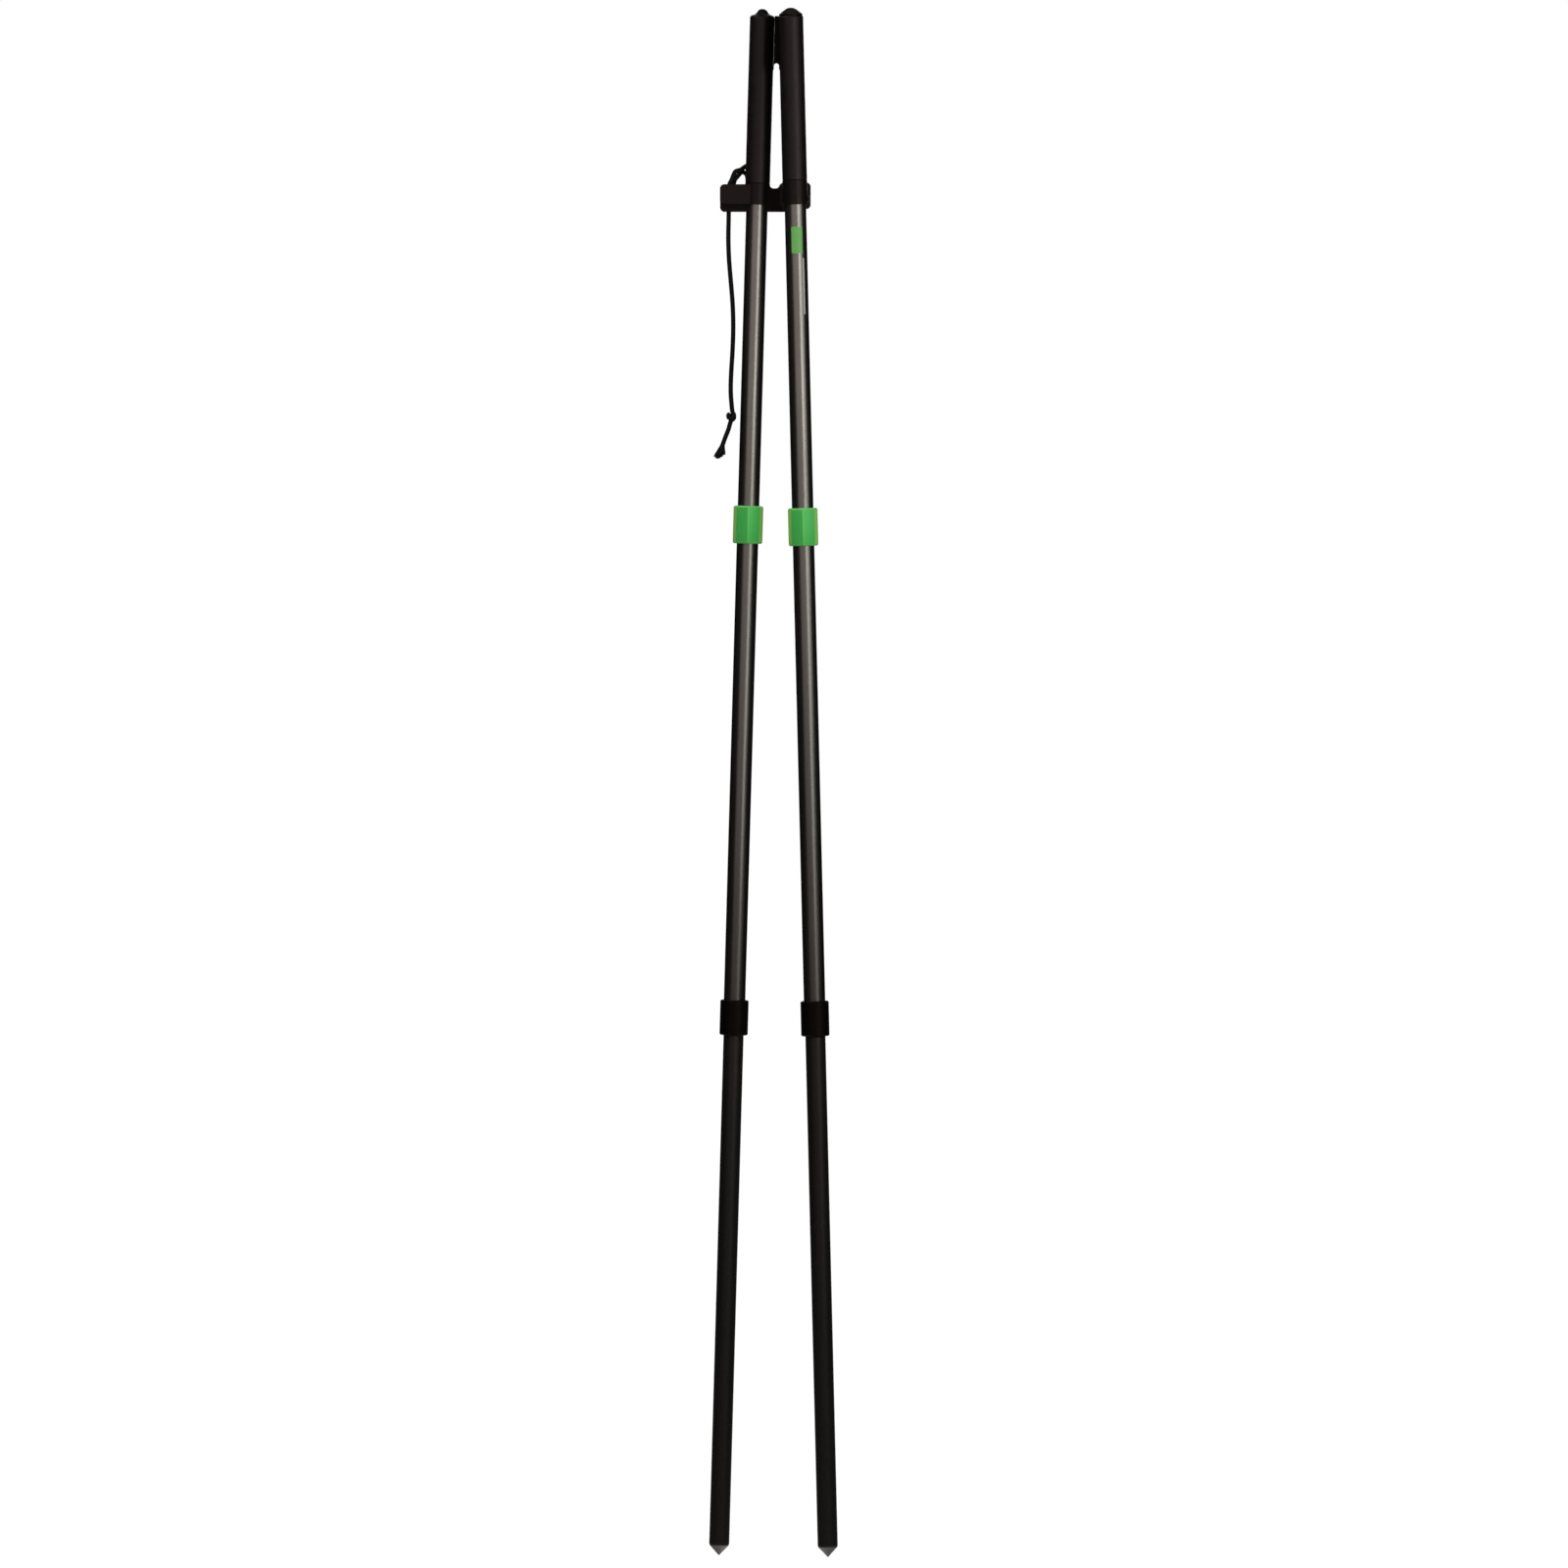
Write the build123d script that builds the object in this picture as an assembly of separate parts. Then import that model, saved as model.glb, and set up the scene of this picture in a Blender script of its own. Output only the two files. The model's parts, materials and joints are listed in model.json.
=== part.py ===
from build123d import *
import math
import os

# A tall bipod field rest. Two legs of three tube sections each are held together by an elastic cord inside.
# A bracket joins them near the top. The right leg turns on a bolt in the bracket and swings across in front
# of the left one, so that the legs cross and the two padded uprights above the bracket open into a V.
#
# Frame: millimetres, +Z up, -Y is the front. The origin is on the ground, midway between the two tips.
# Each leg is drawn in its own frame, with the tip's point at the origin and the leg's axis along +Z.

# Stance
FOOT_HALF_SPREAD = 55.7
PIVOT_HALF_SPREAD = 19.3
PIVOT_HEIGHT = 1388.5
LEG_DEPTH = 17.0
SIDES = {"left": -1, "right": 1}

# Tubes
TUBE_RADIUS = 11.0
LOWER_TUBE_RADIUS = 10.3
TUBE_WALL = 1.0
LOWER_TUBE_SEAT_RADIUS = 10.05
TUBE_END_HEIGHT = 10.5
EDGE_BREAK = 1.0

# Fits, each a gap on the radius
GLUED_GAP = 0.05
SLIDING_GAP = 0.08
STOP_GAP = 0.12

# How far a cutting tool runs past the face it opens
OVERCUT = 1.0

# Sleeves over the two section joints
GREEN_SLEEVE_LENGTH = 38.5
GREEN_SLEEVE_CORNER_RADIUS = 15.25
GREEN_SLEEVE_FACE_ANGLE = 52.0
GREEN_SLEEVE_MIDDLE = {"left": 1052.75, "right": 1050.75}
GREEN_SLEEVE_BEVEL = 1.3
BLACK_SLEEVE_LENGTH = 36.0
BLACK_SLEEVE_RADIUS = 14.5
BLACK_SLEEVE_MIDDLE = 549.5
BLACK_SLEEVE_BEVEL = 1.2

# Ferrules inside the section joints
FERRULE_REACH_UP = 50.0
FERRULE_REACH_DOWN = 40.0
FERRULE_WALL = 2.2
FERRULE_LEAD = 1.5

# Ground tips
TIP_RADIUS = 9.8
TIP_CONE_HEIGHT = 10.0
TIP_POINT_RADIUS = 0.4
TIP_SHANK = 30.0

# Elastic cord inside each leg
SHOCK_CORD_RADIUS = 2.4
SHOCK_CORD_TOP = 1500.0
SHOCK_CORD_BOTTOM = 60.0
ANCHOR_LENGTH = 14.0
ANCHOR_SOCKET = 9.0

# Padded uprights
GRIP_RADIUS = 12.7
GRIP_TOP = 1571.5
CAP_OUTLINE = {
    "left": ((11.6, 0.6), (7.4, 2.3), (4.6, 5.6), (0, 7.6)),
    "right": ((11.9, 2.2), (9.2, 4.2), (5.2, 7.1), (0, 8.5)),
}
CAP_SHANK = 16.0

# Bracket
COLLAR_BOTTOM = 1379.5
COLLAR_TOP = {"left": 1401.0, "right": 1404.0}
BRACKET_BACK = 32.25
BACKBONE_LEFT = -57.2
BACKBONE_FRONT = 9.5
BACKBONE_BOTTOM = 1372.0
BACKBONE_TOP = 1396.0
BACKBONE_CORNER = 4.5
LUG_LEFT = -57.4
LUG_FRONT = 6.5
LUG_BOTTOM = 1379.5
LUG_TOP = 1400.2
LUG_CORNER = 4.5
HOUSING_HALF_WIDTH = 15.9
HOUSING_FRONT = 2.0
HOUSING_BOTTOM = 1375.0
HOUSING_TOP = 1402.0
HOUSING_CORNER = 4.5
SOFT_EDGE = 0.8
WEB_RADIUS = 4.0
WEB_DEPTH = 12.5

# Pivot
BOSS_RADIUS = 11.5
BOSS_FACE = 0.9
WASHER_THICKNESS = 1.0
WASHER_RADIUS = 10.0
SHOULDER_RADIUS = 3.95
THREAD_RADIUS = 2.95
BOLT_HEAD_RADIUS = 6.0
BOLT_HEAD_THICKNESS = 3.6
BOLT_SOCKET_RADIUS = 2.4
BOLT_SOCKET_DEPTH = 2.2
COUNTERBORE_RADIUS = 7.6
COUNTERBORE_DEPTH = 6.6
HEAD_WASHER_RADIUS = 7.2
INSERT_RADIUS = 4.4
INSERT_LENGTH = 6.2
FACE_GAP = 0.05

# Screws that keep each collar on its tube
SCREW_HEIGHT = 1385.0
SCREW_RADIUS = 1.5
SCREW_HEAD_RADIUS = 2.8
SCREW_HEAD_THICKNESS = 1.5
SCREW_END_RADIUS = 8.6
SCREW_RECESS_SPAN = 3.4
SCREW_RECESS_WIDTH = 0.7
SCREW_RECESS_DEPTH = 0.6

# Rubber stop between the two uprights
STOP_BOTTOM = 1517.0
STOP_ARCH_RADIUS = 2.6
STOP_ARCH_HEIGHT = 1520.9
STOP_FRONT = -17.0
STOP_SADDLE_BACK = 3.5
STOP_SADDLE_RIGHT = 8.0
STOP_BACK = 22.0

# Tie cord
CORD_RADIUS = 2.4
CORD_HOLE_RADIUS = 2.5
CORD_HOLE = (-48.3, 13.5)
INNER_LOOP_HOLE = (-43.8, 21.0)
INNER_LOOP_ANCHOR_HOLE = (-29.2, 29.0)
LOOP_ANCHOR_HOLE = (-8.8, 28.9)
CORD_HOLE_FLOOR = 1386.0
CORD_HOLE_MOUTH = 1.6
KNOT_CENTRE = (-45.3, 12.3, 1163.0)
KNOT_RADII = (5.2, 4.4, 6.4)
RADIUS_SHARE = 0.45

# Each cord route starts at an end that the object holds and lists the corners of its line.
LOOP_ROUTE = [
    (-48.3, 13.5, 1391.5),
    (-48.3, 13.5, 1400.8),
    (-44.9, 14.2, 1406.5),
    (-43.3, 15.4, 1412.4),
    (-38.6, 17.6, 1415.6),
    (-33.8, 20.4, 1417.4),
    (-30.6, 28.4, 1419.2),
    (-24.6, 33.4, 1419.8),
    (-17.2, 34.2, 1418.0),
    (-11.6, 32.3, 1413.8),
    (-8.9, 29.7, 1407.6),
    (-8.8, 28.9, 1400.6),
    (-8.8, 28.9, 1390.5),
]
INNER_LOOP_ROUTE = [
    (-43.8, 21.0, 1389.5),
    (-43.8, 21.0, 1398.2),
    (-41.6, 21.0, 1403.6),
    (-38.8, 21.7, 1409.9),
    (-36.0, 23.8, 1413.4),
    (-32.1, 26.8, 1413.6),
    (-29.4, 29.1, 1410.0),
    (-29.2, 29.0, 1402.0),
    (-29.2, 29.0, 1390.5),
]
TAIL_ROUTE = [
    (-48.3, 13.5, 1391.5),
    (-48.3, 13.5, 1369.0),
    (-48.9, 12.7, 1346.0),
    (-48.1, 11.9, 1323.0),
    (-46.0, 11.6, 1300.0),
    (-44.0, 12.1, 1277.0),
    (-43.4, 12.9, 1254.0),
    (-44.1, 13.3, 1231.0),
    (-45.6, 13.1, 1208.0),
    (-46.2, 12.6, 1189.0),
    (-44.7, 12.3, 1170.0),
]
SHORT_END_ROUTE = [
    (-46.3, 12.2, 1158.5),
    (-48.1, 12.0, 1150.0),
    (-52.0, 11.6, 1140.5),
    (-55.2, 11.4, 1131.0),
    (-58.6, 11.2, 1121.4),
]
FLARE_LENGTH = 13.5
FLARE_PAST_CORD = 2.0
FLARE_NECK_RADIUS = 2.9
FLARE_RADIUS = 5.6

# Worked out from the above
LEG_TILT = math.degrees(math.atan((FOOT_HALF_SPREAD - PIVOT_HALF_SPREAD) / PIVOT_HEIGHT))
TUBE_BORE = TUBE_RADIUS - TUBE_WALL
LOWER_TUBE_BORE = LOWER_TUBE_RADIUS - TUBE_WALL
COUNTERBORE_FLOOR = BRACKET_BACK - COUNTERBORE_DEPTH
HEAD_UNDERSIDE = COUNTERBORE_FLOOR + WASHER_THICKNESS + 2 * FACE_GAP
INSERT_FRONT = BOSS_FACE - FACE_GAP - INSERT_LENGTH


def up(height):
    """Turns a height above the ground into a distance along a leg."""
    return height / math.cos(math.radians(LEG_TILT))


def leg_place(side):
    """Where a leg's own frame sits: on its tip, leaning in towards the other leg."""
    sign = SIDES[side]
    return Location((sign * FOOT_HALF_SPREAD, -sign * LEG_DEPTH, 0), (0, -sign * LEG_TILT, 0))


def rod(radius, low, high):
    """A plain cylinder on the Z axis between two heights."""
    return Pos(0, 0, low) * Cylinder(radius, high - low, align=(Align.CENTER, Align.CENTER, Align.MIN))


def cross_rod(radius, front, back, x, z):
    """A plain cylinder along Y between two depths."""
    return Pos(x, front, z) * Rot(-90, 0, 0) * rod(radius, 0, back - front)


def block(x, y, z):
    """A box from three (low, high) pairs."""
    sizes = [high - low for low, high in (x, y, z)]
    return Pos(x[0], y[0], z[0]) * Box(*sizes, align=(Align.MIN, Align.MIN, Align.MIN))


def turned(*outline):
    """A body of revolution about Z, from (radius, height) points."""
    return revolve(Plane.XZ * make_face(Polyline(*outline, close=True)), Axis.Z)


def upper_tube(side):
    """Upper tube. Its seats under the sleeve and under the bracket and grip are a glue line thinner."""
    low = up(GREEN_SLEEVE_MIDDLE[side])
    sleeve_top = low + GREEN_SLEEVE_LENGTH / 2
    collar = up(COLLAR_BOTTOM)
    high = up(GRIP_TOP)
    seat = TUBE_RADIUS - GLUED_GAP
    tube = turned(
        (TUBE_BORE, low),
        (seat, low),
        (seat, sleeve_top),
        (TUBE_RADIUS, sleeve_top),
        (TUBE_RADIUS, collar),
        (seat, collar),
        (seat, high),
        (TUBE_BORE, high),
    )
    return tube - screw_hole(side)


def middle_tube(side):
    """Middle tube, with a thinner seat inside each sleeve."""
    low = up(BLACK_SLEEVE_MIDDLE)
    black_top = low + BLACK_SLEEVE_LENGTH / 2
    high = up(GREEN_SLEEVE_MIDDLE[side])
    green_bottom = high - GREEN_SLEEVE_LENGTH / 2
    seat = TUBE_RADIUS - GLUED_GAP
    return turned(
        (TUBE_BORE, low),
        (seat, low),
        (seat, black_top),
        (TUBE_RADIUS, black_top),
        (TUBE_RADIUS, green_bottom),
        (seat, green_bottom),
        (seat, high),
        (TUBE_BORE, high),
    )


def lower_tube():
    """Lower tube, thinner than the others, with a shoulder at its upper end that meets the black sleeve."""
    low = up(TUBE_END_HEIGHT)
    high = up(BLACK_SLEEVE_MIDDLE)
    black_bottom = high - BLACK_SLEEVE_LENGTH / 2
    return turned(
        (LOWER_TUBE_BORE, low),
        (LOWER_TUBE_RADIUS - EDGE_BREAK / 2, low),
        (LOWER_TUBE_RADIUS, low + EDGE_BREAK),
        (LOWER_TUBE_RADIUS, black_bottom),
        (LOWER_TUBE_SEAT_RADIUS, black_bottom),
        (LOWER_TUBE_SEAT_RADIUS, high),
        (LOWER_TUBE_BORE, high),
    )


def green_sleeve(side):
    """Eight-sided coupling sleeve with an edge to the front, half on the upper tube, half over the next."""
    side_angles = [GREEN_SLEEVE_FACE_ANGLE, 90, 180 - GREEN_SLEEVE_FACE_ANGLE]
    angles = [0] + side_angles + [180] + [360 - angle for angle in reversed(side_angles)]
    corners = [
        (
            GREEN_SLEEVE_CORNER_RADIUS * math.sin(math.radians(angle)),
            -GREEN_SLEEVE_CORNER_RADIUS * math.cos(math.radians(angle)),
        )
        for angle in angles
    ]
    outline = make_face(Polyline(*corners, close=True))
    sleeve = extrude(outline, GREEN_SLEEVE_LENGTH)
    ends = sleeve.edges().group_by(Axis.Z)
    sleeve = chamfer(ends[0] + ends[-1], GREEN_SLEEVE_BEVEL)
    sleeve -= rod(TUBE_RADIUS, 0, GREEN_SLEEVE_LENGTH)
    return Pos(0, 0, up(GREEN_SLEEVE_MIDDLE[side]) - GREEN_SLEEVE_LENGTH / 2) * sleeve


def black_sleeve():
    """Round sleeve with a stepped bore: glued on the middle tube, sliding over the seat of the lower one."""
    middle = up(BLACK_SLEEVE_MIDDLE)
    low = middle - BLACK_SLEEVE_LENGTH / 2
    high = middle + BLACK_SLEEVE_LENGTH / 2
    bore = LOWER_TUBE_SEAT_RADIUS + GLUED_GAP
    return turned(
        (bore, low),
        (BLACK_SLEEVE_RADIUS - BLACK_SLEEVE_BEVEL, low),
        (BLACK_SLEEVE_RADIUS, low + BLACK_SLEEVE_BEVEL),
        (BLACK_SLEEVE_RADIUS, high - BLACK_SLEEVE_BEVEL),
        (BLACK_SLEEVE_RADIUS - BLACK_SLEEVE_BEVEL, high),
        (TUBE_RADIUS, high),
        (TUBE_RADIUS, middle),
        (bore, middle),
    )


def ferrule(joint_height, tube_bore):
    """Hollow plug: glued in the section below the joint, sliding in the one above."""
    joint = up(joint_height)
    low = joint - FERRULE_REACH_DOWN
    high = joint + FERRULE_REACH_UP
    glued = tube_bore - GLUED_GAP
    sliding = TUBE_BORE - SLIDING_GAP
    bore = min(glued, sliding) - FERRULE_WALL
    return turned(
        (bore, low),
        (glued, low),
        (glued, joint),
        (sliding, joint),
        (sliding, high - FERRULE_LEAD),
        (sliding - FERRULE_LEAD / 2, high),
        (bore, high),
    )


def ground_tip():
    """Steel cone with a shank glued in the end of the lower tube."""
    shank = LOWER_TUBE_BORE - GLUED_GAP
    shoulder = up(TUBE_END_HEIGHT) - GLUED_GAP
    return turned(
        (0, 0),
        (TIP_POINT_RADIUS, 0),
        (TIP_RADIUS, TIP_CONE_HEIGHT),
        (TIP_RADIUS, shoulder),
        (shank, shoulder),
        (shank, up(TUBE_END_HEIGHT) + TIP_SHANK),
        (0, up(TUBE_END_HEIGHT) + TIP_SHANK),
    )


def cord_anchor(tube_bore, mouth, direction):
    """Plug glued in a tube, with a blind socket that holds one end of the elastic cord."""
    radius = tube_bore - GLUED_GAP
    floor = mouth + direction * ANCHOR_LENGTH
    plug = rod(radius, min(mouth, floor), max(mouth, floor))
    socket_floor = mouth + direction * ANCHOR_SOCKET
    return plug - rod(SHOCK_CORD_RADIUS, min(mouth, socket_floor), max(mouth, socket_floor))


def shock_cord():
    """Elastic cord from the socket of the lower anchor to the socket of the upper one."""
    return rod(SHOCK_CORD_RADIUS, up(SHOCK_CORD_BOTTOM) - ANCHOR_SOCKET, up(SHOCK_CORD_TOP) + ANCHOR_SOCKET)


def grip(side):
    """Soft grip over the tube above the bracket, with a rounded top edge."""
    low = up(COLLAR_TOP[side])
    high = up(GRIP_TOP)
    sleeve = rod(GRIP_RADIUS, low, high)
    sleeve = fillet(sleeve.edges().group_by(Axis.Z)[-1], EDGE_BREAK)
    return sleeve - rod(TUBE_RADIUS, low, high)


def top_cap(side):
    """Peaked plug in the open top of the upper tube, with a skirt that covers the grip's end."""
    seat = up(GRIP_TOP)
    shank = TUBE_BORE - GLUED_GAP
    crown = [(radius, seat + height) for radius, height in CAP_OUTLINE[side]]
    base = crown[0][0]
    straight = Polyline(
        crown[-1],
        (0, seat - CAP_SHANK),
        (shank, seat - CAP_SHANK),
        (shank, seat),
        (base, seat),
        crown[0],
    )
    outline = straight + Spline(*crown, tangents=[(-1, 0.5), (-1, 0)])
    return revolve(Plane.XZ * make_face(outline), Axis.Z)


def screw_frame(side):
    """Where a collar's screw sits in its leg's frame: at the back on the left, outside on the right."""
    turn = 90 if side == "left" else 0
    return Pos(0, 0, up(SCREW_HEIGHT)) * Rot(0, 0, turn) * Rot(0, 90, 0)


def screw_seat_radius(side):
    """How far out from the tube's axis the screw's head sits."""
    return BRACKET_BACK - LEG_DEPTH - SCREW_HEAD_THICKNESS if side == "left" else GRIP_RADIUS


def screw_hole(side):
    """The hole for a collar's screw, through the collar and one wall of the tube."""
    return screw_frame(side) * rod(SCREW_RADIUS + GLUED_GAP, 0, screw_seat_radius(side) + OVERCUT)


def collar_screw(side):
    """Pan-head screw that keeps a collar on its tube."""
    seat = screw_seat_radius(side)
    head = rod(SCREW_HEAD_RADIUS, seat, seat + SCREW_HEAD_THICKNESS)
    head = fillet(head.edges().group_by(Axis.Z)[-1], SCREW_HEAD_THICKNESS / 2)
    recess = Box(SCREW_RECESS_SPAN, SCREW_RECESS_WIDTH, 2 * SCREW_RECESS_DEPTH)
    recess += Box(SCREW_RECESS_WIDTH, SCREW_RECESS_SPAN, 2 * SCREW_RECESS_DEPTH)
    head -= Pos(0, 0, seat + SCREW_HEAD_THICKNESS) * recess
    return screw_frame(side) * (head + rod(SCREW_RADIUS, SCREW_END_RADIUS, seat))


def cord_hole_mouth(height, direction):
    """Widened mouth of a cord hole, opening up (1) or down (-1)."""
    mouth = Cone(CORD_HOLE_RADIUS, CORD_HOLE_RADIUS + 2 * CORD_HOLE_MOUTH, 2 * CORD_HOLE_MOUTH)
    turn = 0 if direction > 0 else 180
    return Pos(0, 0, height) * Rot(turn, 0, 0) * mouth


def cord_holes():
    """Upright holes for the tie cord: one through lug and backbone, three blind ones in the backbone."""
    past_top = BACKBONE_TOP + OVERCUT
    through = rod(CORD_HOLE_RADIUS, BACKBONE_BOTTOM - OVERCUT, LUG_TOP + OVERCUT)
    through += cord_hole_mouth(LUG_TOP, 1) + cord_hole_mouth(BACKBONE_BOTTOM, -1)
    holes = Pos(*CORD_HOLE, 0) * through
    for place in (INNER_LOOP_HOLE, INNER_LOOP_ANCHOR_HOLE, LOOP_ANCHOR_HOLE):
        holes += Pos(*place, 0) * rod(CORD_HOLE_RADIUS, CORD_HOLE_FLOOR, past_top)
    return holes


def valley_webs():
    """Hollow-rounded corners where the backbone's top meets the left collar and the housing."""
    front = BACKBONE_FRONT
    back = front + WEB_DEPTH
    collar_side = GRIP_RADIUS - PIVOT_HALF_SPREAD
    housing_side = PIVOT_HALF_SPREAD - HOUSING_HALF_WIDTH
    low = BACKBONE_TOP - OVERCUT
    high = BACKBONE_TOP + WEB_RADIUS
    left = block((collar_side - OVERCUT, collar_side + WEB_RADIUS), (front, back), (low, high))
    right = block((housing_side - WEB_RADIUS, housing_side + OVERCUT), (front, back), (low, high))
    past_back = back + OVERCUT
    left -= cross_rod(WEB_RADIUS, front - OVERCUT, past_back, collar_side + WEB_RADIUS, high)
    right -= cross_rod(WEB_RADIUS, front - OVERCUT, past_back, housing_side - WEB_RADIUS, high)
    return left + right


def bracket_body():
    """One moulding: a collar on the left tube, a lug for the tie cord, a backbone and the pivot housing."""
    back = (BACKBONE_FRONT, BRACKET_BACK)
    backbone = block((BACKBONE_LEFT, PIVOT_HALF_SPREAD), back, (BACKBONE_BOTTOM, BACKBONE_TOP))
    backbone = fillet(backbone.edges().filter_by(Axis.Y).group_by(Axis.X)[0], BACKBONE_CORNER)
    lug = block((LUG_LEFT, -PIVOT_HALF_SPREAD), (LUG_FRONT, LEG_DEPTH), (LUG_BOTTOM, LUG_TOP))
    lug = fillet(lug.edges().filter_by(Axis.Y).group_by(Axis.X)[0], LUG_CORNER)
    lug = fillet(lug.edges().group_by(Axis.Y)[0], SOFT_EDGE)
    sides = (PIVOT_HALF_SPREAD - HOUSING_HALF_WIDTH, PIVOT_HALF_SPREAD + HOUSING_HALF_WIDTH)
    housing = block(sides, (HOUSING_FRONT, BRACKET_BACK), (HOUSING_BOTTOM, HOUSING_TOP))
    housing = fillet(housing.edges().filter_by(Axis.Y), HOUSING_CORNER)
    housing = fillet(housing.edges().group_by(Axis.Y)[0], SOFT_EDGE)
    place = leg_place("left")
    low = up(COLLAR_BOTTOM)
    high = up(COLLAR_TOP["left"])
    body = backbone + lug + housing + place * rod(GRIP_RADIUS, low, high) + valley_webs()
    body -= place * rod(TUBE_RADIUS, low - LUG_TOP + LUG_BOTTOM, high + OVERCUT)
    body -= place * screw_hole("left")
    seat = screw_seat_radius("left")
    recess = rod(SCREW_HEAD_RADIUS + GLUED_GAP, seat, seat + 2 * SCREW_HEAD_THICKNESS)
    body -= place * screw_frame("left") * recess
    bore = SHOULDER_RADIUS + GLUED_GAP
    back_face = BRACKET_BACK + OVERCUT
    body -= cross_rod(bore, HOUSING_FRONT - OVERCUT, BRACKET_BACK, PIVOT_HALF_SPREAD, PIVOT_HEIGHT)
    body -= cross_rod(COUNTERBORE_RADIUS, COUNTERBORE_FLOOR, back_face, PIVOT_HALF_SPREAD, PIVOT_HEIGHT)
    return body - cord_holes()


def right_collar():
    """Collar on the right tube, with the boss behind it that turns on the bracket."""
    place = leg_place("right")
    low = up(COLLAR_BOTTOM)
    high = up(COLLAR_TOP["right"])
    boss = cross_rod(BOSS_RADIUS, -LEG_DEPTH, BOSS_FACE, PIVOT_HALF_SPREAD, PIVOT_HEIGHT)
    body = place * rod(GRIP_RADIUS, low, high) + boss
    body -= place * rod(TUBE_RADIUS, low - BOSS_RADIUS, high + OVERCUT)
    pocket = INSERT_RADIUS + GLUED_GAP
    body -= cross_rod(pocket, INSERT_FRONT, BOSS_FACE + OVERCUT, PIVOT_HALF_SPREAD, PIVOT_HEIGHT)
    return body - place * screw_hole("right")


def pivot_insert():
    """Threaded bush moulded into the right collar's boss."""
    outer = cross_rod(INSERT_RADIUS, INSERT_FRONT, BOSS_FACE - FACE_GAP, PIVOT_HALF_SPREAD, PIVOT_HEIGHT)
    bore = THREAD_RADIUS + GLUED_GAP
    return outer - cross_rod(bore, INSERT_FRONT, BOSS_FACE, PIVOT_HALF_SPREAD, PIVOT_HEIGHT)


def pivot_bolt():
    """Shoulder bolt from the back: a head in the counterbore, a shoulder in the housing, a threaded end."""
    x = PIVOT_HALF_SPREAD
    z = PIVOT_HEIGHT
    head = cross_rod(BOLT_HEAD_RADIUS, HEAD_UNDERSIDE, HEAD_UNDERSIDE + BOLT_HEAD_THICKNESS, x, z)
    head = chamfer(head.edges().group_by(Axis.Y)[-1], BOLT_HEAD_THICKNESS / 6)
    socket = extrude(RegularPolygon(BOLT_SOCKET_RADIUS, 6), BOLT_SOCKET_DEPTH)
    head -= Pos(x, HEAD_UNDERSIDE + BOLT_HEAD_THICKNESS, z) * Rot(90, 0, 0) * socket
    shoulder = cross_rod(SHOULDER_RADIUS, BOSS_FACE + FACE_GAP, HEAD_UNDERSIDE, x, z)
    return head + shoulder + cross_rod(THREAD_RADIUS, INSERT_FRONT + FACE_GAP, BOSS_FACE + FACE_GAP, x, z)


def pivot_washer():
    """Friction washer between the boss and the housing."""
    front = BOSS_FACE + FACE_GAP
    back = HOUSING_FRONT - FACE_GAP
    hole = SHOULDER_RADIUS + GLUED_GAP
    ring = cross_rod(WASHER_RADIUS, front, back, PIVOT_HALF_SPREAD, PIVOT_HEIGHT)
    return ring - cross_rod(hole, front - OVERCUT, back + OVERCUT, PIVOT_HALF_SPREAD, PIVOT_HEIGHT)


def head_washer():
    """Steel washer under the bolt's head."""
    front = COUNTERBORE_FLOOR + FACE_GAP
    back = front + WASHER_THICKNESS
    hole = SHOULDER_RADIUS + GLUED_GAP
    ring = cross_rod(HEAD_WASHER_RADIUS, front, back, PIVOT_HALF_SPREAD, PIVOT_HEIGHT)
    return ring - cross_rod(hole, front - OVERCUT, back + OVERCUT, PIVOT_HALF_SPREAD, PIVOT_HEIGHT)


def upright_stop():
    """Rubber stop on the right upright. Its tongue rests beside the left upright when the legs are closed."""
    top = GRIP_TOP

    def inner_edge(height):
        axis = FOOT_HALF_SPREAD - height * math.tan(math.radians(LEG_TILT))
        return axis - GRIP_RADIUS / math.cos(math.radians(LEG_TILT))

    gap = [
        (-inner_edge(STOP_BOTTOM), STOP_BOTTOM),
        (-inner_edge(top), top),
        (inner_edge(top), top),
        (inner_edge(STOP_BOTTOM), STOP_BOTTOM),
    ]
    wedge = Plane.XZ * make_face(Polyline(*gap, close=True))
    tongue = Pos(0, STOP_BACK, 0) * extrude(wedge, STOP_BACK - STOP_FRONT)
    saddle = block((0, STOP_SADDLE_RIGHT), (STOP_FRONT, STOP_SADDLE_BACK), (STOP_BOTTOM, top))
    stop = tongue + saddle
    past_top = up(top) + TUBE_RADIUS
    stop -= leg_place("right") * rod(GRIP_RADIUS + GLUED_GAP, up(COLLAR_TOP["right"]), past_top)
    stop -= leg_place("left") * rod(GRIP_RADIUS + STOP_GAP, up(COLLAR_TOP["left"]), past_top)
    through = (STOP_FRONT - OVERCUT, STOP_BACK + OVERCUT)
    stop -= cross_rod(STOP_ARCH_RADIUS, *through, 0, STOP_ARCH_HEIGHT)
    arch = (-STOP_ARCH_RADIUS, STOP_ARCH_RADIUS)
    return stop - block(arch, through, (STOP_BOTTOM - OVERCUT, STOP_ARCH_HEIGHT))


def corner_radii(route):
    """The largest arcs that a cord's corners allow."""
    points = [Vector(*point) for point in route]
    radii = []
    for before, corner, after in zip(points, points[1:], points[2:]):
        run_in = corner - before
        run_out = after - corner
        shorter = min(run_in.length, run_out.length)
        half_turn = math.radians(run_in.get_angle(run_out)) / 2
        radii.append(RADIUS_SHARE * shorter / math.tan(half_turn))
    return radii


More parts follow.
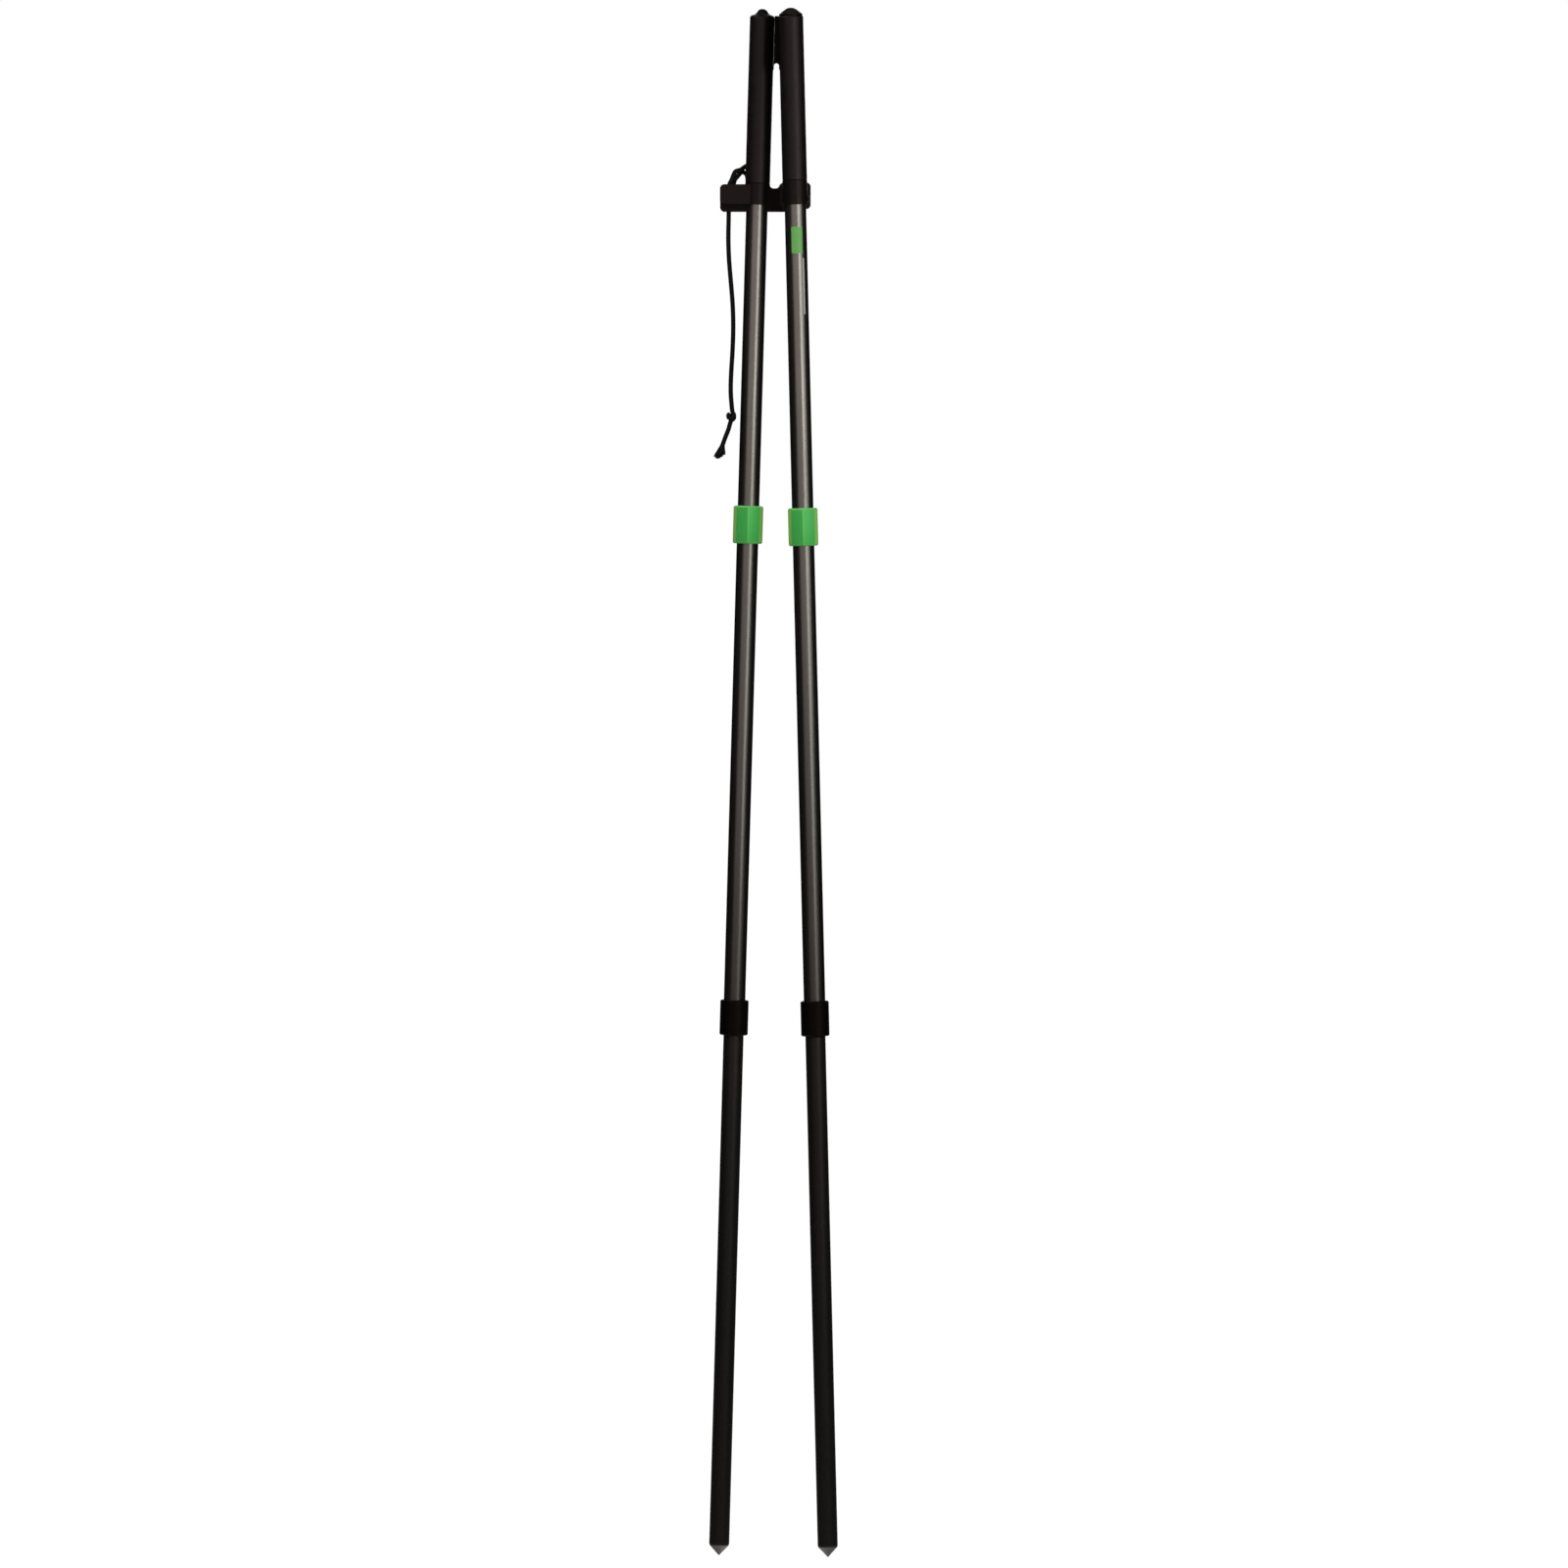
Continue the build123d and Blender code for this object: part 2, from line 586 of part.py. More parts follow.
def cord(name, route):
    """A round cord along straight runs joined by tangent arcs."""
    radii = corner_radii(route)
    path = FilletPolyline(*route, radius=radii)
    start = Plane(origin=path @ 0, z_dir=path % 0)
    tube = sweep(start * Circle(CORD_RADIUS), path=path)
    section = math.pi * CORD_RADIUS**2
    print(name, "radii", [round(radius, 1) for radius in radii])
    ratio = tube.volume / (section * path.length)
    print(name, "length", round(path.length, 1), "volume ratio", round(ratio, 4))
    return tube


def cord_knot(*strands):
    """Overhand knot, drawn as a closed round form that the strands enter."""
    sphere = Sphere(1)
    knot = Pos(*KNOT_CENTRE) * scale(sphere, by=KNOT_RADII)
    for strand in strands:
        knot -= strand
    return knot


def cord_flare(strand):
    """Splayed, melted tip around the last stretch of the cord's short end, and a little past it."""
    end = Vector(*SHORT_END_ROUTE[-1])
    direction = (end - Vector(*SHORT_END_ROUTE[-2])).normalized()
    neck = end - direction * (FLARE_LENGTH - FLARE_PAST_CORD)
    upright = (Align.CENTER, Align.CENTER, Align.MIN)
    cone = Cone(FLARE_NECK_RADIUS, FLARE_RADIUS, FLARE_LENGTH, align=upright)
    cone = fillet(cone.edges().group_by(Axis.Z)[-1], FLARE_PAST_CORD / 2)
    return Plane(origin=neck, z_dir=direction) * cone - strand


def build():
    """Every node of the assembly, by name."""
    nodes = {}
    for side in SIDES:
        place = leg_place(side)
        leg = {
            "grip": grip(side),
            "top_cap": top_cap(side),
            "upper_tube": upper_tube(side),
            "green_sleeve": green_sleeve(side),
            "upper_ferrule": ferrule(GREEN_SLEEVE_MIDDLE[side], TUBE_BORE),
            "middle_tube": middle_tube(side),
            "black_sleeve": black_sleeve(),
            "lower_ferrule": ferrule(BLACK_SLEEVE_MIDDLE, LOWER_TUBE_BORE),
            "lower_tube": lower_tube(),
            "ground_tip": ground_tip(),
            "upper_cord_anchor": cord_anchor(TUBE_BORE, up(SHOCK_CORD_TOP), 1),
            "lower_cord_anchor": cord_anchor(LOWER_TUBE_BORE, up(SHOCK_CORD_BOTTOM), -1),
            "shock_cord": shock_cord(),
            "collar_screw": collar_screw(side),
        }
        for name, shape in leg.items():
            nodes[f"{side}_{name}"] = place * shape
    nodes["bracket_body"] = bracket_body()
    nodes["right_collar"] = right_collar()
    nodes["pivot_insert"] = pivot_insert()
    nodes["pivot_bolt"] = pivot_bolt()
    nodes["pivot_washer"] = pivot_washer()
    nodes["bolt_head_washer"] = head_washer()
    nodes["upright_stop"] = upright_stop()
    tail = cord("tie_cord_tail", TAIL_ROUTE)
    short_end = cord("tie_cord_short_end", SHORT_END_ROUTE)
    nodes["tie_cord_loop"] = cord("tie_cord_loop", LOOP_ROUTE)
    nodes["tie_cord_inner_loop"] = cord("tie_cord_inner_loop", INNER_LOOP_ROUTE)
    nodes["tie_cord_tail"] = tail
    nodes["tie_cord_knot"] = cord_knot(tail, short_end)
    nodes["tie_cord_short_end"] = short_end
    nodes["tie_cord_flare"] = cord_flare(short_end)
    return nodes


os.makedirs("parts", exist_ok=True)
for node, shape in build().items():
    export_step(shape, f"parts/{node}.step")
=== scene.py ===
import json
import math

import bmesh
import bpy
from mathutils import Matrix, Vector, noise
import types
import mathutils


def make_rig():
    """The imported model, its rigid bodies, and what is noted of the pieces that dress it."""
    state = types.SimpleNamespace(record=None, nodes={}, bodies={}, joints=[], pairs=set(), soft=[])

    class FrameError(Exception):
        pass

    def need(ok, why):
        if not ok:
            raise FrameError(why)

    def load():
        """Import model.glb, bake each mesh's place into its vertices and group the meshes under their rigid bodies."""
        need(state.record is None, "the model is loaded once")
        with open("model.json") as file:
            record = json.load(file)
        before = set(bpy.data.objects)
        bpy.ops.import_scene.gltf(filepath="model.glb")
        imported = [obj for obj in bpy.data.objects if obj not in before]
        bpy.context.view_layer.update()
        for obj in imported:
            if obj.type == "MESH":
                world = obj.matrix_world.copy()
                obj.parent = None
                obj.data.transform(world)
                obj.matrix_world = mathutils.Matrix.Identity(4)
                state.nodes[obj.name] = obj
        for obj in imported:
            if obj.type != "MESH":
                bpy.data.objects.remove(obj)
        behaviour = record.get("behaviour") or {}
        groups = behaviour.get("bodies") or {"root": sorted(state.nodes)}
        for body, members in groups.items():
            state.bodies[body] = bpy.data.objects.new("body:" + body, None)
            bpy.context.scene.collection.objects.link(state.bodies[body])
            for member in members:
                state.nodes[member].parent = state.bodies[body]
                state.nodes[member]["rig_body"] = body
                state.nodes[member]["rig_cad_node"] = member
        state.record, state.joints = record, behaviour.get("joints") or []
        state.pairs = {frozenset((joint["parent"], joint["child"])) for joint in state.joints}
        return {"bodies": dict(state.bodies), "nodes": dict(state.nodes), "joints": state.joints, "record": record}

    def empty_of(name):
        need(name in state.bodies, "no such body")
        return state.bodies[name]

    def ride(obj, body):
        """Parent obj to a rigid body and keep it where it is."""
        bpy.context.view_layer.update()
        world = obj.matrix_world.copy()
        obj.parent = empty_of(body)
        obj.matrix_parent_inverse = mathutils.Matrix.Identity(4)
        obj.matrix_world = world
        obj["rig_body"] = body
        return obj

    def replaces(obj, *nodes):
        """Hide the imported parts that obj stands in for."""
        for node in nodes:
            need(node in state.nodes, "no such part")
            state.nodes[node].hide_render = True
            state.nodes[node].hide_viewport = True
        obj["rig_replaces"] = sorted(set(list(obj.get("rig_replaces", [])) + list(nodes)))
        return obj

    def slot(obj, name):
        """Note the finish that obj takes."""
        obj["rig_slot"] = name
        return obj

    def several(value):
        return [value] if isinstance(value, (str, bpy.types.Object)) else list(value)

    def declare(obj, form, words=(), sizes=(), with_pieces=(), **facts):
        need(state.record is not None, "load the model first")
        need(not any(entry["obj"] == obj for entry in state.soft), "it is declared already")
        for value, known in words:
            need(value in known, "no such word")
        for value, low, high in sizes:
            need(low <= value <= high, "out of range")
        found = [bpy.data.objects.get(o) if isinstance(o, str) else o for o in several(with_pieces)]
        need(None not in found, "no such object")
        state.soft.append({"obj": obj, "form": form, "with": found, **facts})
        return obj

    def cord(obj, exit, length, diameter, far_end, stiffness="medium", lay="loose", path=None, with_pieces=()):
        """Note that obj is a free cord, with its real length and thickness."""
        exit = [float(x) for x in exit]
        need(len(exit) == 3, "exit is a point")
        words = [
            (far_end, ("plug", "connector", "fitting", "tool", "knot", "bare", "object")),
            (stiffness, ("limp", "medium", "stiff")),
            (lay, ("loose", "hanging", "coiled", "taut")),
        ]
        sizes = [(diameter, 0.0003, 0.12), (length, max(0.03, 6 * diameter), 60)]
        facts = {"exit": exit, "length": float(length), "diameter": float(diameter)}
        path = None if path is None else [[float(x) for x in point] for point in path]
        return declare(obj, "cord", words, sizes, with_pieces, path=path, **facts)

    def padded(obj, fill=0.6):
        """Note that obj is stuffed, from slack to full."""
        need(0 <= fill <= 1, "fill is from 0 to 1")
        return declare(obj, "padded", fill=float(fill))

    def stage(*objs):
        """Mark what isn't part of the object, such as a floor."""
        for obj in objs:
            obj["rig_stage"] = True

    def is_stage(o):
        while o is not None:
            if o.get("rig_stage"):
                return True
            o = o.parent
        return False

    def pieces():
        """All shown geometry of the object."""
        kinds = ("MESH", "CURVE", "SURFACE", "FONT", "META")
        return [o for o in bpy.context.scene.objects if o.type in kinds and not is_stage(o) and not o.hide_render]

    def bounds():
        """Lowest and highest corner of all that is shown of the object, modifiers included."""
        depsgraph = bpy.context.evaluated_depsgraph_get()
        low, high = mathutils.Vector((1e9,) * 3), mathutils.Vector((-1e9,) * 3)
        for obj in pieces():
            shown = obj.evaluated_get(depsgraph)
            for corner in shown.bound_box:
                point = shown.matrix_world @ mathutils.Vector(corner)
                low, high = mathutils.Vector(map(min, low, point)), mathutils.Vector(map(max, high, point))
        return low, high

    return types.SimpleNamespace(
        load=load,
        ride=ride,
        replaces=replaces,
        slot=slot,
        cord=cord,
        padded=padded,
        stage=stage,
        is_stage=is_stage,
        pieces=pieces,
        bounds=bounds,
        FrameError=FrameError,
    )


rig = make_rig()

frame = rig.load()
cad_box = [list(corner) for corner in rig.bounds()]

# Everything is in metres, in the frame's own axes: -Y is the front and the tips stand on Z = 0.
SIDES = ("left", "right")

# Camera
CAMERA_DISTANCE = 25.0
VIEW_WIDTH = 1.6
SENSOR_WIDTH = 36.0
CAMERA_AIM = (0.00922, 0.0, 0.78835)
CAMERA_ELEVATION = math.radians(1.0)
CAMERA_ROLL = math.radians(0.118)

# Floor
FLOOR_HEIGHT = -0.16
FLOOR_RADIUS = 45.0
FLOOR_COLUMNS = 96

# Looks shared by several pieces
WARM_TINT = (1.0, 0.76, 0.76, 1.0)
FOAM_TINT = (1.0, 0.78, 0.8, 1.0)
TUBE_TINT = (1.0, 0.87, 0.84, 1.0)
DARK_RIM_TINT = (0.25, 0.24, 0.23, 1.0)
SHARP_ANGLE = math.radians(30)
SHARP_ANGLE_DRAWN = math.radians(38)

# Tie cord: each route starts at an end that the object holds.
CORD_RADIUS = 0.0024
LOOP_ROUTE = [
    (-0.0483, 0.0135, 1.3915),
    (-0.0483, 0.0135, 1.3996),
    (-0.0455, 0.0141, 1.4042),
    (-0.0438, 0.0150, 1.4094),
    (-0.0415, 0.0164, 1.4138),
    (-0.0368, 0.0186, 1.4145),
    (-0.0336, 0.0222, 1.4168),
    (-0.0300, 0.0292, 1.4196),
    (-0.0240, 0.0336, 1.4198),
    (-0.0172, 0.0342, 1.4180),
    (-0.0116, 0.0323, 1.4138),
    (-0.0089, 0.0297, 1.4076),
    (-0.0088, 0.0289, 1.4006),
    (-0.0088, 0.0289, 1.3905),
]
INNER_LOOP_ROUTE = [
    (-0.0438, 0.0210, 1.3895),
    (-0.0438, 0.0210, 1.3990),
    (-0.0424, 0.0208, 1.4051),
    (-0.0388, 0.0214, 1.4088),
    (-0.0362, 0.0236, 1.4125),
    (-0.0320, 0.0270, 1.4125),
    (-0.0293, 0.0293, 1.4085),
    (-0.0292, 0.0290, 1.4015),
    (-0.0292, 0.0290, 1.3905),
]
TAIL_ROUTE = [
    (-0.0483, 0.0135, 1.3915),
    (-0.0483, 0.0135, 1.3690),
    (-0.0489, 0.0127, 1.3460),
    (-0.0481, 0.0119, 1.3230),
    (-0.0460, 0.0116, 1.3000),
    (-0.0440, 0.0121, 1.2770),
    (-0.0434, 0.0129, 1.2540),
    (-0.0441, 0.0133, 1.2310),
    (-0.0456, 0.0131, 1.2080),
    (-0.0462, 0.0126, 1.1890),
    (-0.0449, 0.0123, 1.1730),
    (-0.0442, 0.0123, 1.1672),
]
SHORT_END_ROUTE = [
    (-0.0448, 0.0122, 1.1614),
    (-0.0460, 0.0122, 1.1585),
    (-0.0481, 0.0120, 1.1500),
    (-0.0520, 0.0116, 1.1405),
    (-0.0552, 0.0114, 1.1310),
    (-0.0586, 0.0112, 1.1214),
]
KNOT_ROUTE = [
    (-0.04530, 0.01242, 1.1775),
    (-0.04488, 0.01234, 1.1722),
    (-0.0445, 0.0124, 1.1682),
    (-0.0425, 0.0119, 1.1656),
    (-0.0421, 0.0099, 1.1632),
    (-0.0449, 0.0089, 1.1618),
    (-0.0480, 0.0101, 1.1616),
    (-0.0486, 0.0131, 1.1624),
    (-0.0473, 0.0151, 1.1640),
    (-0.0441, 0.0152, 1.1646),
    (-0.0420, 0.0139, 1.1630),
    (-0.0429, 0.0120, 1.1604),
    (-0.0455, 0.0121, 1.1592),
    (-0.0470, 0.0121, 1.1552),
    (-0.0481, 0.0120, 1.1500),
]
KNOT_STRAND_RADIUS = 0.00236
KNOT_SQUEEZE = 0.00028
STUB_CENTRE = (-0.0482, 0.0108, 1.1641)
STUB_RADII = (0.0024, 0.0024, 0.0032)
FRAY_NECK = (-0.0538, 0.0115, 1.1354)
FRAY_END = (-0.0581, 0.0112, 1.1213)
FRAY_LENGTH = 0.0128
FRAY_SLANT = 0.0026
FRAY_CROWN = 0.0034
FRAY_NECK_RADIUS = 0.0014
FRAY_FLARE = 0.0039
YARN_RADIUS = 0.00072
YARN_JITTER = 0.0003
# Each ring of yarns: its share of the flare's radius, how many yarns it has and how far it is turned
YARN_RINGS = ((0.0, 1, 0.0), (0.34, 6, 0.3), (0.67, 12, 0.1), (1.0, 19, 0.0))
BRAID_STRANDS = 8
BRAID_PITCH = 0.0023
BRAID_DEPTH = 0.00034
CORD_SEGMENTS = 48


def leg_matrix(side):
    """A leg's own frame: its tip at the origin, Z up the leg and -Y to the front."""
    foot = next(mount for mount in frame["record"]["mounts"] if mount["name"] == side + "_foot")
    up = -Vector(foot["axis"]).normalized()
    back = Vector((0, 1, 0))
    point = Vector(foot["pos_m"])
    tip = point - up * (point.z / up.z)
    return Matrix.Translation(tip) @ Matrix((back.cross(up), back, up)).transposed().to_4x4()


LEGS = {side: leg_matrix(side) for side in SIDES}


def span(node, side):
    """The lowest and highest place of a CAD node along its leg."""
    inverse = LEGS[side].inverted()
    heights = [(inverse @ vertex.co).z for vertex in frame["nodes"][node].data.vertices]
    return min(heights), max(heights)


# ---------------------------------------------------------------- finishes


class Finish:
    """A material whose colour, roughness and bump come from nodes, in a leg's own frame or in the row's."""

    def __init__(self, name, side=None, **fixed):
        self.material = bpy.data.materials.new(name)
        self.material.use_nodes = True
        self.nodes = self.material.node_tree.nodes
        self.links = self.material.node_tree.links
        self.shader = self.nodes["Principled BSDF"]
        for socket, value in fixed.items():
            self.shader.inputs[socket.replace("_", " ")].default_value = value
        self.place = self.nodes.new("ShaderNodeTexCoord").outputs["Object"]
        if side:
            location, rotation, _ = LEGS[side].decompose()
            mapping = self.nodes.new("ShaderNodeMapping")
            mapping.vector_type = "TEXTURE"
            mapping.inputs["Location"].default_value = location
            mapping.inputs["Rotation"].default_value = rotation.to_euler()
            self.links.new(self.place, mapping.inputs["Vector"])
            self.place = mapping.outputs["Vector"]

    def node(self, kind, settings, inputs, output=0):
        """Adds a node and returns one of its outputs. An input is a value or another node's output."""
        made = self.nodes.new("ShaderNode" + kind)
        for key, value in settings.items():
            setattr(made, key, value)
        for key, value in inputs.items():
            self.feed(made.inputs[key], value)
        return made.outputs[output]

    def feed(self, socket, value):
        if isinstance(value, bpy.types.NodeSocket):
            self.links.new(value, socket)
        else:
            socket.default_value = value

    def noise(self, scale, detail=3.0, roughness=0.5, distortion=0.0):
        """Noise from 0 to 1 with that many features a metre along each axis."""
        scaled = self.node("VectorMath", {"operation": "MULTIPLY"}, {0: self.place, 1: scale})
        inputs = {"Vector": scaled, "Scale": 1.0, "Detail": detail, "Roughness": roughness}
        return self.node("TexNoise", {}, {**inputs, "Distortion": distortion})

    def cells(self, scale):
        """Distance to the nearest of that many cells a metre."""
        return self.node("TexVoronoi", {"feature": "F1"}, {"Vector": self.place, "Scale": scale})

    def axis(self, name):
        """One coordinate of the place."""
        return self.node("SeparateXYZ", {}, {0: self.place}, name)

    def maths(self, operation, first, second=0.0):
        return self.node("Math", {"operation": operation}, {0: first, 1: second})

    def remap(self, value, low, high, to_low=0.0, to_high=1.0):
        """Stretches a range of values to another one and keeps within it."""
        return self.node(
            "MapRange",
            {"interpolation_type": "SMOOTHSTEP"},
            {"Value": value, "From Min": low, "From Max": high, "To Min": to_low, "To Max": to_high},
        )

    def mix(self, factor, first, second):
        """A colour between two others. A colour is three numbers or another node's output."""
        inputs = {0: factor}
        for key, value in {6: first, 7: second}.items():
            inputs[key] = value if isinstance(value, bpy.types.NodeSocket) else (*value, 1.0)
        return self.node("Mix", {"data_type": "RGBA"}, inputs, 2)

    def attribute(self, name):
        return self.node("Attribute", {"attribute_name": name}, {}, "Fac")

    def edges(self, radius, low=0.02, high=0.25):
        """1 along outer and inner edges, fading to 0 within the radius."""
        rounded = self.node("Bevel", {"samples": 4}, {"Radius": radius})
        plain = self.node("NewGeometry", {}, {}, "Normal")
        facing = self.node("VectorMath", {"operation": "DOT_PRODUCT"}, {0: rounded, 1: plain}, "Value")
        return self.remap(self.maths("SUBTRACT", 1.0, facing), low, high)

    def colour(self, value):
        self.feed(self.shader.inputs["Base Color"], value)

    def roughness(self, value):
        self.feed(self.shader.inputs["Roughness"], value)

    def bump(self, *layers):
        """Lays (height, depth in metres) layers on each other, the first one lowest."""
        normal = None
        for height, depth in layers:
            inputs = {"Height": height, "Distance": depth, "Strength": 1.0}
            if normal is not None:
                inputs["Normal"] = normal
            normal = self.node("Bump", {}, inputs)
        self.feed(self.shader.inputs["Normal"], normal)


def tube_finish(side):
    """Gunmetal anodised tube: streaks along it from drawing, faint patches of wear, and painted shade that darkens it
    towards the foot.
    """
    made = Finish("gunmetal_tube_" + side, side, Metallic=1.0, Specular_Tint=DARK_RIM_TINT)
    streaks = made.noise((1500, 1500, 7), 4.0, 0.6)
    patches = made.noise((70, 70, 11), 3.0)
    scuffs = made.remap(made.noise((420, 420, 60), 2.0, 0.6, 0.6), 0.66, 0.8)
    # Painted shade: the colour darkens from Z 0.95 m down to 0.5 m, where the light falls off lower down the legs.
    lower = made.remap(made.axis("Z"), 0.95, 0.5)
    base = made.mix(streaks, (0.128, 0.114, 0.105), (0.166, 0.149, 0.139))
    base = made.mix(made.maths("MULTIPLY", patches, 0.35), base, (0.118, 0.106, 0.098))
    base = made.mix(made.maths("MULTIPLY", lower, 0.3), base, (0.05, 0.043, 0.038))
    made.colour(made.mix(made.maths("MULTIPLY", scuffs, 0.25), base, (0.26, 0.24, 0.22)))
    uneven = made.maths("ADD", streaks, made.maths("MULTIPLY", patches, 0.6))
    made.roughness(made.remap(uneven, 0.4, 1.2, 0.26, 0.38))
    made.bump((streaks, 0.000012), (patches, 0.00002))
    return made.material


def lower_tube_finish(side):
    """Matte black tube: fine powder texture, with long scuffs from use."""
    made = Finish("matte_black_tube_" + side, side, Specular_IOR_Level=0.4, Specular_Tint=TUBE_TINT)
    grain = made.noise((2600, 2600, 2600), 2.0)
    peel = made.noise((420, 420, 160), 2.0)
    scuffs = made.remap(made.noise((500, 500, 35), 3.0, 0.6, 0.4), 0.62, 0.8)
    base = made.mix(grain, (0.004, 0.0032, 0.003), (0.0085, 0.0072, 0.0066))
    made.colour(made.mix(made.maths("MULTIPLY", scuffs, 0.35), base, (0.03, 0.028, 0.026)))
    made.roughness(made.remap(made.maths("ADD", grain, peel), 0.6, 1.4, 0.36, 0.46))
    made.bump((peel, 0.00006), (grain, 0.00003))
    return made.material


def foam_finish(side):
    """Closed-cell foam: small pores under a soft skin, with a tone that varies in patches."""
    made = Finish("grip_foam_" + side, side, Specular_IOR_Level=0.25, Specular_Tint=FOAM_TINT)
    pores = made.cells(2400)
    fine = made.noise((3200, 3200, 3200), 2.0)
    cloud = made.noise((140, 140, 60), 3.0)
    base = made.mix(made.remap(pores, 0.1, 0.6), (0.001, 0.0007, 0.0007), (0.0035, 0.0023, 0.0023))
    made.colour(made.mix(made.remap(cloud, 0.35, 0.7, 0.0, 0.6), base, (0.0055, 0.0036, 0.0036)))
    made.roughness(made.remap(made.maths("ADD", pores, cloud), 0.4, 1.3, 0.38, 0.5))
    made.bump((pores, 0.00005), (fine, 0.00003))
    return made.material


def moulded_finish(name="moulded_black", side=None, level=1.0, grain_scale=1400, specular=0.14, recess=None):
    """Black moulded nylon with a fine grain, and a patchy painted highlight along its edges."""
    made = Finish(name, side, Specular_IOR_Level=specular, Specular_Tint=WARM_TINT)
    grain = made.cells(grain_scale)
    cloud = made.noise((90, 90, 90), 3.0)
    dark, light, edge_highlight_tone = ([level * tone for tone in tones] for tones in (
        (0.0035, 0.002, 0.002), (0.0065, 0.004, 0.004), (0.024, 0.018, 0.017)
    ))
    base = made.mix(cloud, dark, light)
    # Painted highlight: the colour is lighter along edges found with the Bevel node, more in some patches than others.
    edge_highlight_mask = made.maths("MULTIPLY", made.edges(0.0006), made.remap(cloud, 0.4, 0.7, 0.15, 0.8))
    made.colour(made.mix(edge_highlight_mask, base, edge_highlight_tone))
    rough = made.remap(made.maths("ADD", grain, cloud), 0.4, 1.4, 0.36, 0.48)
    if recess:
        deep = made.remap(made.axis("Y"), *recess)
        rough = made.maths("MAXIMUM", rough, made.maths("MULTIPLY", deep, 0.85))
    made.roughness(rough)
    made.bump((grain, 0.00003), (made.noise((2400, 2400, 2400), 2.0), 0.00002))
    return made.material


def green_finish(name, side):
    """Bright green anodised aluminium: a cut rim and narrow sides that are lighter and more yellow."""
    made = Finish(name, side, Metallic=0.1, Specular_IOR_Level=0.3)
    lines = made.noise((900, 900, 25), 3.0, 0.55)
    cloud = made.noise((110, 110, 60), 3.0)
    base = made.mix(lines, (0.048, 0.42, 0.066), (0.074, 0.53, 0.095))
    base = made.mix(made.remap(cloud, 0.3, 0.7, 0.0, 0.4), base, (0.07, 0.5, 0.11))
    base = made.mix(made.attribute("side"), base, (0.42, 0.86, 0.17))
    made.colour(made.mix(made.maths("MULTIPLY", made.attribute("arris"), 0.7), base, (0.18, 0.68, 0.15)))
    made.roughness(made.remap(lines, 0.3, 0.7, 0.38, 0.5))
    made.bump((lines, 0.000012), (cloud, 0.00002))
    return made.material


def metal_finish(name, base, light, rough, side=None, rings=2600.0):
    """Turned metal: fine rings round its axis and faint handling marks."""
    made = Finish(name, side, Metallic=1.0)
    height = {"W": made.axis("Z"), "Scale": rings, "Detail": 2.0}
    turned = made.node("TexNoise", {"noise_dimensions": "1D"}, height)
    marks = made.noise((600, 600, 600), 3.0)
    made.colour(made.mix(made.maths("MULTIPLY", made.maths("ADD", turned, marks), 0.5), base, light))
    made.roughness(made.remap(marks, 0.3, 0.7, rough, rough + 0.14))
    made.bump((turned, 0.00002), (marks, 0.00001))
    return made.material


def braid_finish():
    """Black braided cord: painted shade in the valleys between strands, slightly fuzzy strands."""
    made = Finish("tie_cord_braid", Specular_IOR_Level=0.12)
    yarn = made.noise((5200, 5200, 5200), 2.0)
    # Painted shade: the colour darkens where the relief is low, between the strands.
    base = made.mix(made.attribute("relief"), (0.0006, 0.0005, 0.0005), (0.0042, 0.0036, 0.0036))
    made.colour(made.mix(made.remap(yarn, 0.5, 0.8, 0.0, 0.5), base, (0.008, 0.007, 0.007)))
    made.roughness(made.remap(yarn, 0.3, 0.7, 0.62, 0.85))
    made.bump((yarn, 0.00005))
    return made.material


def shock_cord_finish(side):
    """Elastic cord's woven cover: two families of fine strands with a pale tracer."""
    made = Finish("shock_cord_cover_" + side, side, Specular_IOR_Level=0.35, Sheen_Weight=0.1)
    turn = made.maths("MULTIPLY", made.maths("ARCTAN2", made.axis("Y"), made.axis("X")), 6.0)
    along = made.maths("MULTIPLY", made.axis("Z"), 4200.0)
    first = made.maths("SINE", made.maths("ADD", turn, along))
    second = made.maths("SINE", made.maths("SUBTRACT", turn, along))
    weave = made.remap(made.maths("MULTIPLY", first, second), -1.0, 1.0)
    fuzz = made.noise((6000, 6000, 6000), 2.0)
    base = made.mix(weave, (0.004, 0.004, 0.0045), (0.022, 0.022, 0.024))
    made.colour(made.mix(made.maths("MULTIPLY", made.remap(first, 0.9, 1.0), 0.5), base, (0.35, 0.35, 0.33)))
    made.roughness(made.remap(fuzz, 0.3, 0.7, 0.6, 0.8))
    made.bump((weave, 0.0001), (fuzz, 0.00003))
    return made.material


def plastic_finish(name, base, light, rough, side=None):
    """Plain machined or moulded plastic with faint tool marks."""
    made = Finish(name, side, Specular_IOR_Level=0.4)
    marks = made.noise((500, 500, 1800), 3.0)
    made.colour(made.mix(marks, base, light))
    made.roughness(made.remap(marks, 0.3, 0.7, rough, rough + 0.15))
    made.bump((marks, 0.00002))
    return made.material


def paint(node, material):
    """Gives a CAD node its material and smooth shading that keeps its edges."""
    mesh = frame["nodes"][node].data
    mesh.materials.clear()
    mesh.materials.append(material)
    mesh.shade_smooth()
    mesh.set_sharp_from_angle(angle=SHARP_ANGLE)


# ---------------------------------------------------------------- shapes


def mesh_of(name, vertices, faces, **values):
    """A mesh with its faces turned outwards, and with a number at each vertex for each named value."""
    mesh = bpy.data.meshes.new(name)
    mesh.from_pydata(vertices, [], faces)
    shape = bmesh.new()
    shape.from_mesh(mesh)
    bmesh.ops.recalc_face_normals(shape, faces=shape.faces)
    shape.to_mesh(mesh)
    shape.free()
    for key, numbers in values.items():
        mesh.attributes.new(key, "FLOAT", "POINT").data.foreach_set("value", numbers)
    return mesh


